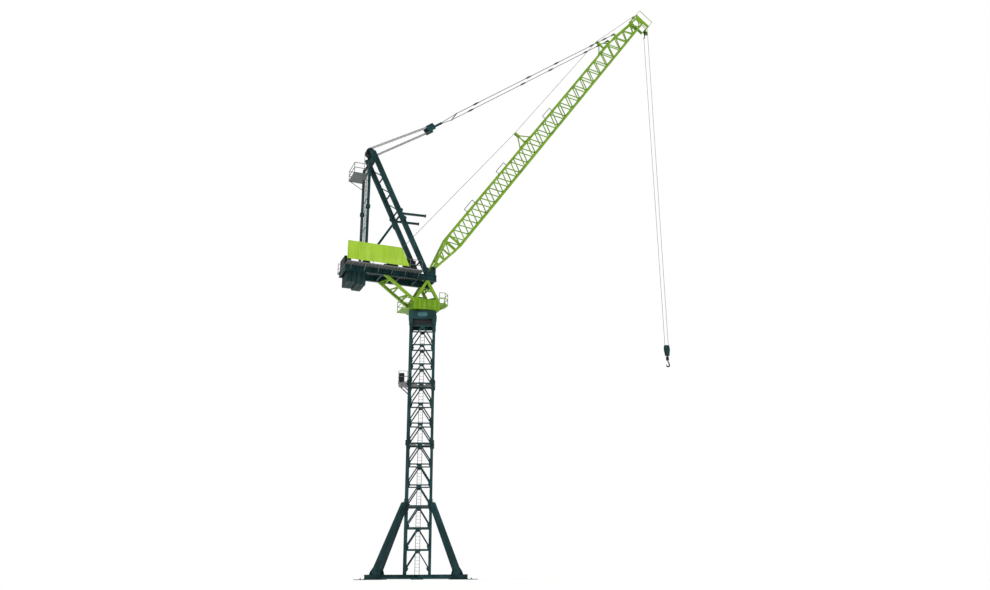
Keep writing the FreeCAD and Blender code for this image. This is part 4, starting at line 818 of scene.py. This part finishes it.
def jib_foot_caps():
    """Retaining caps on the ends of the jib's foot pins."""
    caps = Shape()
    for s in (-1, 1):
        caps.turning((PIVOT.x, s * GIRDER_Y, PIVOT.z), (0, s, 0),
                     ((0, 0.16 * M), (0.03 * M, 0.16 * M), (0.05 * M, 0.12 * M), (0.06 * M, 0.05 * M)), 24)
    fitted(caps, "jib_foot_pin_caps", "slewing_platform", "dark_steel")


def head_lamp():
    """Warning lamp and wind gauge on the jib head."""
    lamp, gauge = Shape(), Shape()
    foot = on_jib(JIB_TIP + 0.30 * M, 0.50 * M, 0.55 * M)
    lamp.turning(foot, JIB_LINE, ((0, 0.05 * M), (0.03 * M, 0.05 * M), (0.04 * M, 0.035 * M),
                                  (0.10 * M, 0.03 * M), (0.12 * M, 0.015 * M)), 16)
    post = on_jib(JIB_TIP + 0.30 * M, 0.45 * M, -0.55 * M)
    hub = post + JIB_LINE * 0.16 * M
    gauge.tube(post, hub, 0.012 * M, 8)
    for n in range(3):
        a = 2 * math.pi * n / 3
        arm = (JIB_UP * math.cos(a) + SIDE * math.sin(a)) * 0.07 * M
        gauge.tube(hub, hub + arm, 0.006 * M, 6)
        gauge.turning(hub + arm, JIB_UP.cross(arm),
                      ((-0.02 * M, 0.006 * M), (0, 0.022 * M), (0.02 * M, 0.024 * M)), 10)
    fitted(lamp, "head_lamp", "jib", "dark_steel")
    fitted(gauge, "wind_gauge", "jib", "galvanised")


# ================================================================ ropes, blocks and hook
def run(a, b, steps):
    """Points on a straight run, close enough together to stretch smoothly."""
    a, b = Vector(a), Vector(b)
    return [a.lerp(b, n / steps) for n in range(steps + 1)]


def half_turn(centre, first, second, radius, steps):
    """Points inside a half turn that starts towards first and passes through second."""
    points = []
    for k in range(1, steps):
        a = math.pi * k / steps
        points.append(centre + first * radius * math.cos(a) + second * radius * math.sin(a))
    return points


def luffing_falls():
    """The rope falls between the A-frame head and the floating block, with their half turns."""
    ropes = Shape()
    across = Vector((-FALLS_LINE.z, 0, FALLS_LINE.x))
    for n in range(4):
        y = (n - 1.5) * SHEAVE_PITCH
        head, block = HEAD_PIN + SIDE * y, BLOCK_PIN + SIDE * y
        points = run(block + across * BLOCK_R, head + across * HEAD_SHEAVE_R, 24)
        points += half_turn(head, across, -FALLS_LINE, HEAD_SHEAVE_R, 8)
        points += run(head - across * HEAD_SHEAVE_R, block - across * BLOCK_R, 24)
        points += half_turn(block, -across, FALLS_LINE, BLOCK_R, 8)
        ropes.sweep(points, ROPE_R, 8, closed=True)
    thing = mesh_object(ropes, "luffing_rope_falls", "wire_rope")
    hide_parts("luffing_falls")
    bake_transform(thing)


def hoist_rope():
    """The hoist rope from its drum up to the lower rope post."""
    square = Vector((-ROPE_LINE.z, 0, ROPE_LINE.x))
    start = DRUM_PIN + square * DRUM_R
    along, height = ROPE_POSTS[0]
    post = on_jib(along, post_level(along, height) + 0.16 * M)
    length = (post - start).dot(ROPE_LINE)
    rope = Shape()
    rope.sweep(run(start, start + ROPE_LINE * length, 60), ROPE_R, 8)
    thing = mesh_object(rope, "hoist_rope_run", "wire_rope")
    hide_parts("hoist_rope_drum_end", "hoist_rope_to_post")
    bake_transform(thing)


def hook_ropes():
    """The two falls that carry the hook block, and the turn under its sheave."""
    rope = Shape()
    tip, hook = TIP_PIN, HOOK_PIN
    link_end = tip.z - 0.85 * M
    left = run((tip.x - TIP_SHEAVE_R, 0, link_end), (hook.x - HOOK_SHEAVE_R, 0, hook.z), 60)
    under = half_turn(Vector((hook.x, 0, hook.z)), Vector((-1, 0, 0)), -UP, HOOK_SHEAVE_R, 10)
    right = run((hook.x + HOOK_SHEAVE_R, 0, hook.z), (tip.x + TIP_SHEAVE_R, 0, tip.z), 60)
    rope.sweep(left + under + right, ROPE_R, 8)
    thing = mesh_object(rope, "hook_rope_falls", "wire_rope")
    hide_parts("hook_falls")
    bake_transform(thing)


def tackle_sheaves():
    """Rims and hubs for the luffing tackle's sheaves, on the A-frame head and on the floating block."""
    rims = Shape()
    for n in range(4):
        sheave(rims, HEAD_PIN, HEAD_SHEAVE_R - ROPE_R, (n - 1.5) * SHEAVE_PITCH, 0.045 * M)
    fitted(rims, "head_sheave_rims", "luffing_guide", "dark_steel")
    rims = Shape()
    for n in range(4):
        sheave(rims, BLOCK_PIN, BLOCK_R - ROPE_R, (n - 1.5) * SHEAVE_PITCH, 0.045 * M)
    fitted(rims, "block_sheave_rims", "floating_block", "dark_steel")


def pendant_sockets():
    """Forged sockets along the pendants, at their joining links."""
    sockets = Shape()
    lug = Vector(JOINTS["pendant_swing"]["pos_m"])
    line = (lug - BLOCK_PIN).normalized()
    start = BLOCK_PIN + line * (TAIL_L + BRIDLE_L + 0.07 * M)
    length = (lug - start).length - 0.14 * M
    for s in (-1, 1):
        for share in (0.10, 0.42, 0.60, 0.84, 0.93):
            p = start + line * length * share + SIDE * s * JIB_Y
            for foot, way in ((p, -1), (p + line * 0.40 * M, 1)):
                sockets.turning(foot, line * way, ((0, 0.07 * M), (0.10 * M, 0.065 * M),
                                                   (0.26 * M, 0.045 * M), (0.30 * M, 0.037 * M)), 14)
            for k in (0.10, 0.30):
                pin = p + line * k * M
                sockets.tube(pin - SIDE * 0.09 * M, pin + SIDE * 0.09 * M, 0.03 * M, 10)
    fitted(sockets, "pendant_sockets", "pendant_set", "dark_steel")


def hook_fittings():
    """Sheave rims and side plates' pins on the hook block, and the forged hook itself."""
    block = Shape()
    sheave(block, HOOK_PIN, HOOK_SHEAVE_R - ROPE_R, 0, 0.045 * M)
    for s in (-1, 1):
        for dz in (0.36, 0.0, -0.66):
            block.turning((HOOK_PIN.x, s * 0.14 * M, HOOK_PIN.z + dz * M), (0, s, 0),
                          ((0, 0.07 * M), (0.02 * M, 0.07 * M), (0.03 * M, 0.05 * M)), 12)
    fitted(block, "hook_block_fittings", "lower_block", "dark_steel")
    hook, latch = Shape(), Shape()
    top = HOOK_PIN.z - 0.82 * M
    bend = Vector((HOOK_PIN.x, 0, top - 0.95 * M))
    radius = 0.20 * M
    points = [Vector((HOOK_PIN.x, 0, top - 0.40 * M)), Vector((HOOK_PIN.x + 0.03 * M, 0, top - 0.52 * M)),
              Vector((HOOK_PIN.x + 0.13 * M, 0, top - 0.70 * M))]
    radii = [0.062 * M, 0.060 * M, 0.062 * M]
    turns = 16
    for n in range(turns + 1):
        a = math.radians(30 - 215 * n / turns)
        points.append(bend + Vector((math.cos(a), 0, math.sin(a))) * radius)
        taper = max(0, n / turns - 0.6) / 0.4
        radii.append((0.064 + 0.012 * math.sin(math.pi * n / turns) - 0.036 * taper) * M)
    hook.sweep(points, radii, 14)
    hook.turning((HOOK_PIN.x, 0, top - 0.44 * M), UP,
                 ((0, 0.12 * M), (0.03 * M, 0.165 * M), (0.36 * M, 0.165 * M), (0.40 * M, 0.14 * M)), 28)
    latch.beam(bend + Vector((0.10 * M, 0, 0.19 * M)), bend + Vector((-0.18 * M, 0, 0.07 * M)),
               0.05 * M, 0.015 * M)
    thing = fitted(hook, "forged_hook", "load_hook", "dark_steel")
    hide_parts("hook")
    fitted(latch, "hook_latch", "load_hook", "dark_steel", "bare_steel")


# ================================================================ stage, light and camera
CAMERA_PLACE = (-12.785, -39.261, 0.075)
CAMERA_HEADING, CAMERA_PITCH, CAMERA_ROLL = 23.0046, 18.0373, -0.2496
CAMERA_LENS = 31.552
STUDIO_LIGHT, BACKDROP, FLOOR_GLOW = 0.42, 1.0, 0.42
FLOOR_REACH, FLOOR_T, FLOOR_GAP = 300.0, 0.02, 0.001
# name, strength, softness in degrees, and turn of each lamp
SUNS = (("key", 1.25, 14.0, (52, 0, -48)), ("fill", 0.2, 40.0, (65, 0, 60)))


def make_stage():
    floor = Shape()
    corners = ((-1, -1), (1, -1), (1, 1), (-1, 1))
    level = -FLOOR_GAP - FLOOR_T / 2
    floor.plate([(x * FLOOR_REACH, y * FLOOR_REACH, level) for x, y in corners], FLOOR_T)
    data = bpy.data.meshes.new("studio_floor")
    floor.mesh.to_mesh(data)
    floor.mesh.free()
    material, tree, shader, place = new_finish("pale studio floor", 0.0, 0.1)
    patches = between(tree, noise(tree, place, 0.4, 3), 0.3, 0.7)
    tone = mixed(tree, patches, srgb(236, 236, 234), srgb(242, 242, 241))
    tree.links.new(tone, shader.inputs["Base Color"])
    shader.inputs["Roughness"].default_value = 0.9
    shader.inputs["Emission Color"].default_value = (1.0, 1.0, 1.0, 1.0)
    shader.inputs["Emission Strength"].default_value = FLOOR_GLOW
    data.materials.append(material)
    thing = bpy.data.objects.new("studio_floor", data)
    bpy.context.scene.collection.objects.link(thing)


def make_light():
    world = bpy.data.worlds.new("studio")
    bpy.context.scene.world = world
    world.use_nodes = True
    background = world.node_tree.nodes["Background"]
    background.inputs["Color"].default_value = (1.0, 1.0, 1.0, 1.0)
    seen = world.node_tree.nodes.new("ShaderNodeLightPath")
    level = world.node_tree.nodes.new("ShaderNodeMapRange")
    level.inputs["To Min"].default_value = STUDIO_LIGHT
    level.inputs["To Max"].default_value = BACKDROP
    world.node_tree.links.new(seen.outputs["Is Camera Ray"], level.inputs["Value"])
    world.node_tree.links.new(level.outputs["Result"], background.inputs["Strength"])
    for name, energy, angle, turn in SUNS:
        lamp = bpy.data.lights.new(name, "SUN")
        lamp.energy = energy
        lamp.angle = math.radians(angle)
        thing = bpy.data.objects.new(name, lamp)
        thing.rotation_euler = Euler([math.radians(v) for v in turn])
        bpy.context.scene.collection.objects.link(thing)
    bpy.context.scene.view_settings.view_transform = "Standard"


def make_camera():
    data = bpy.data.cameras.new("camera")
    data.lens = CAMERA_LENS
    data.sensor_width = 36.0
    data.clip_end = 1000.0
    thing = bpy.data.objects.new("camera", data)
    aim = Euler((math.radians(90 + CAMERA_PITCH), 0, -math.radians(CAMERA_HEADING))).to_matrix().to_4x4()
    roll = Matrix.Rotation(math.radians(CAMERA_ROLL), 4, "Z")
    thing.matrix_world = Matrix.Translation(CAMERA_PLACE) @ aim @ roll
    bpy.context.scene.collection.objects.link(thing)
    bpy.context.scene.camera = thing


make_camera()
make_light()
make_stage()
finish_cad_nodes()
base_fittings()
mast_gussets()
mast_joint_bolts()
mast_foot_shoes()
side_platform_rail()
support_fittings()
girder_stiffeners()
panel_frame()
toe_boards()
cabinet_fronts()
winch_fittings()
counterweight_fittings()
turntable_fittings()
a_frame_fittings()
tackle_sheaves()
jib_gussets()
jib_connectors()
chord_frames()
jib_rope_sheaves()
jib_foot_caps()
head_lamp()
luffing_falls()
hoist_rope()
hook_ropes()
pendant_sockets()
hook_fittings()
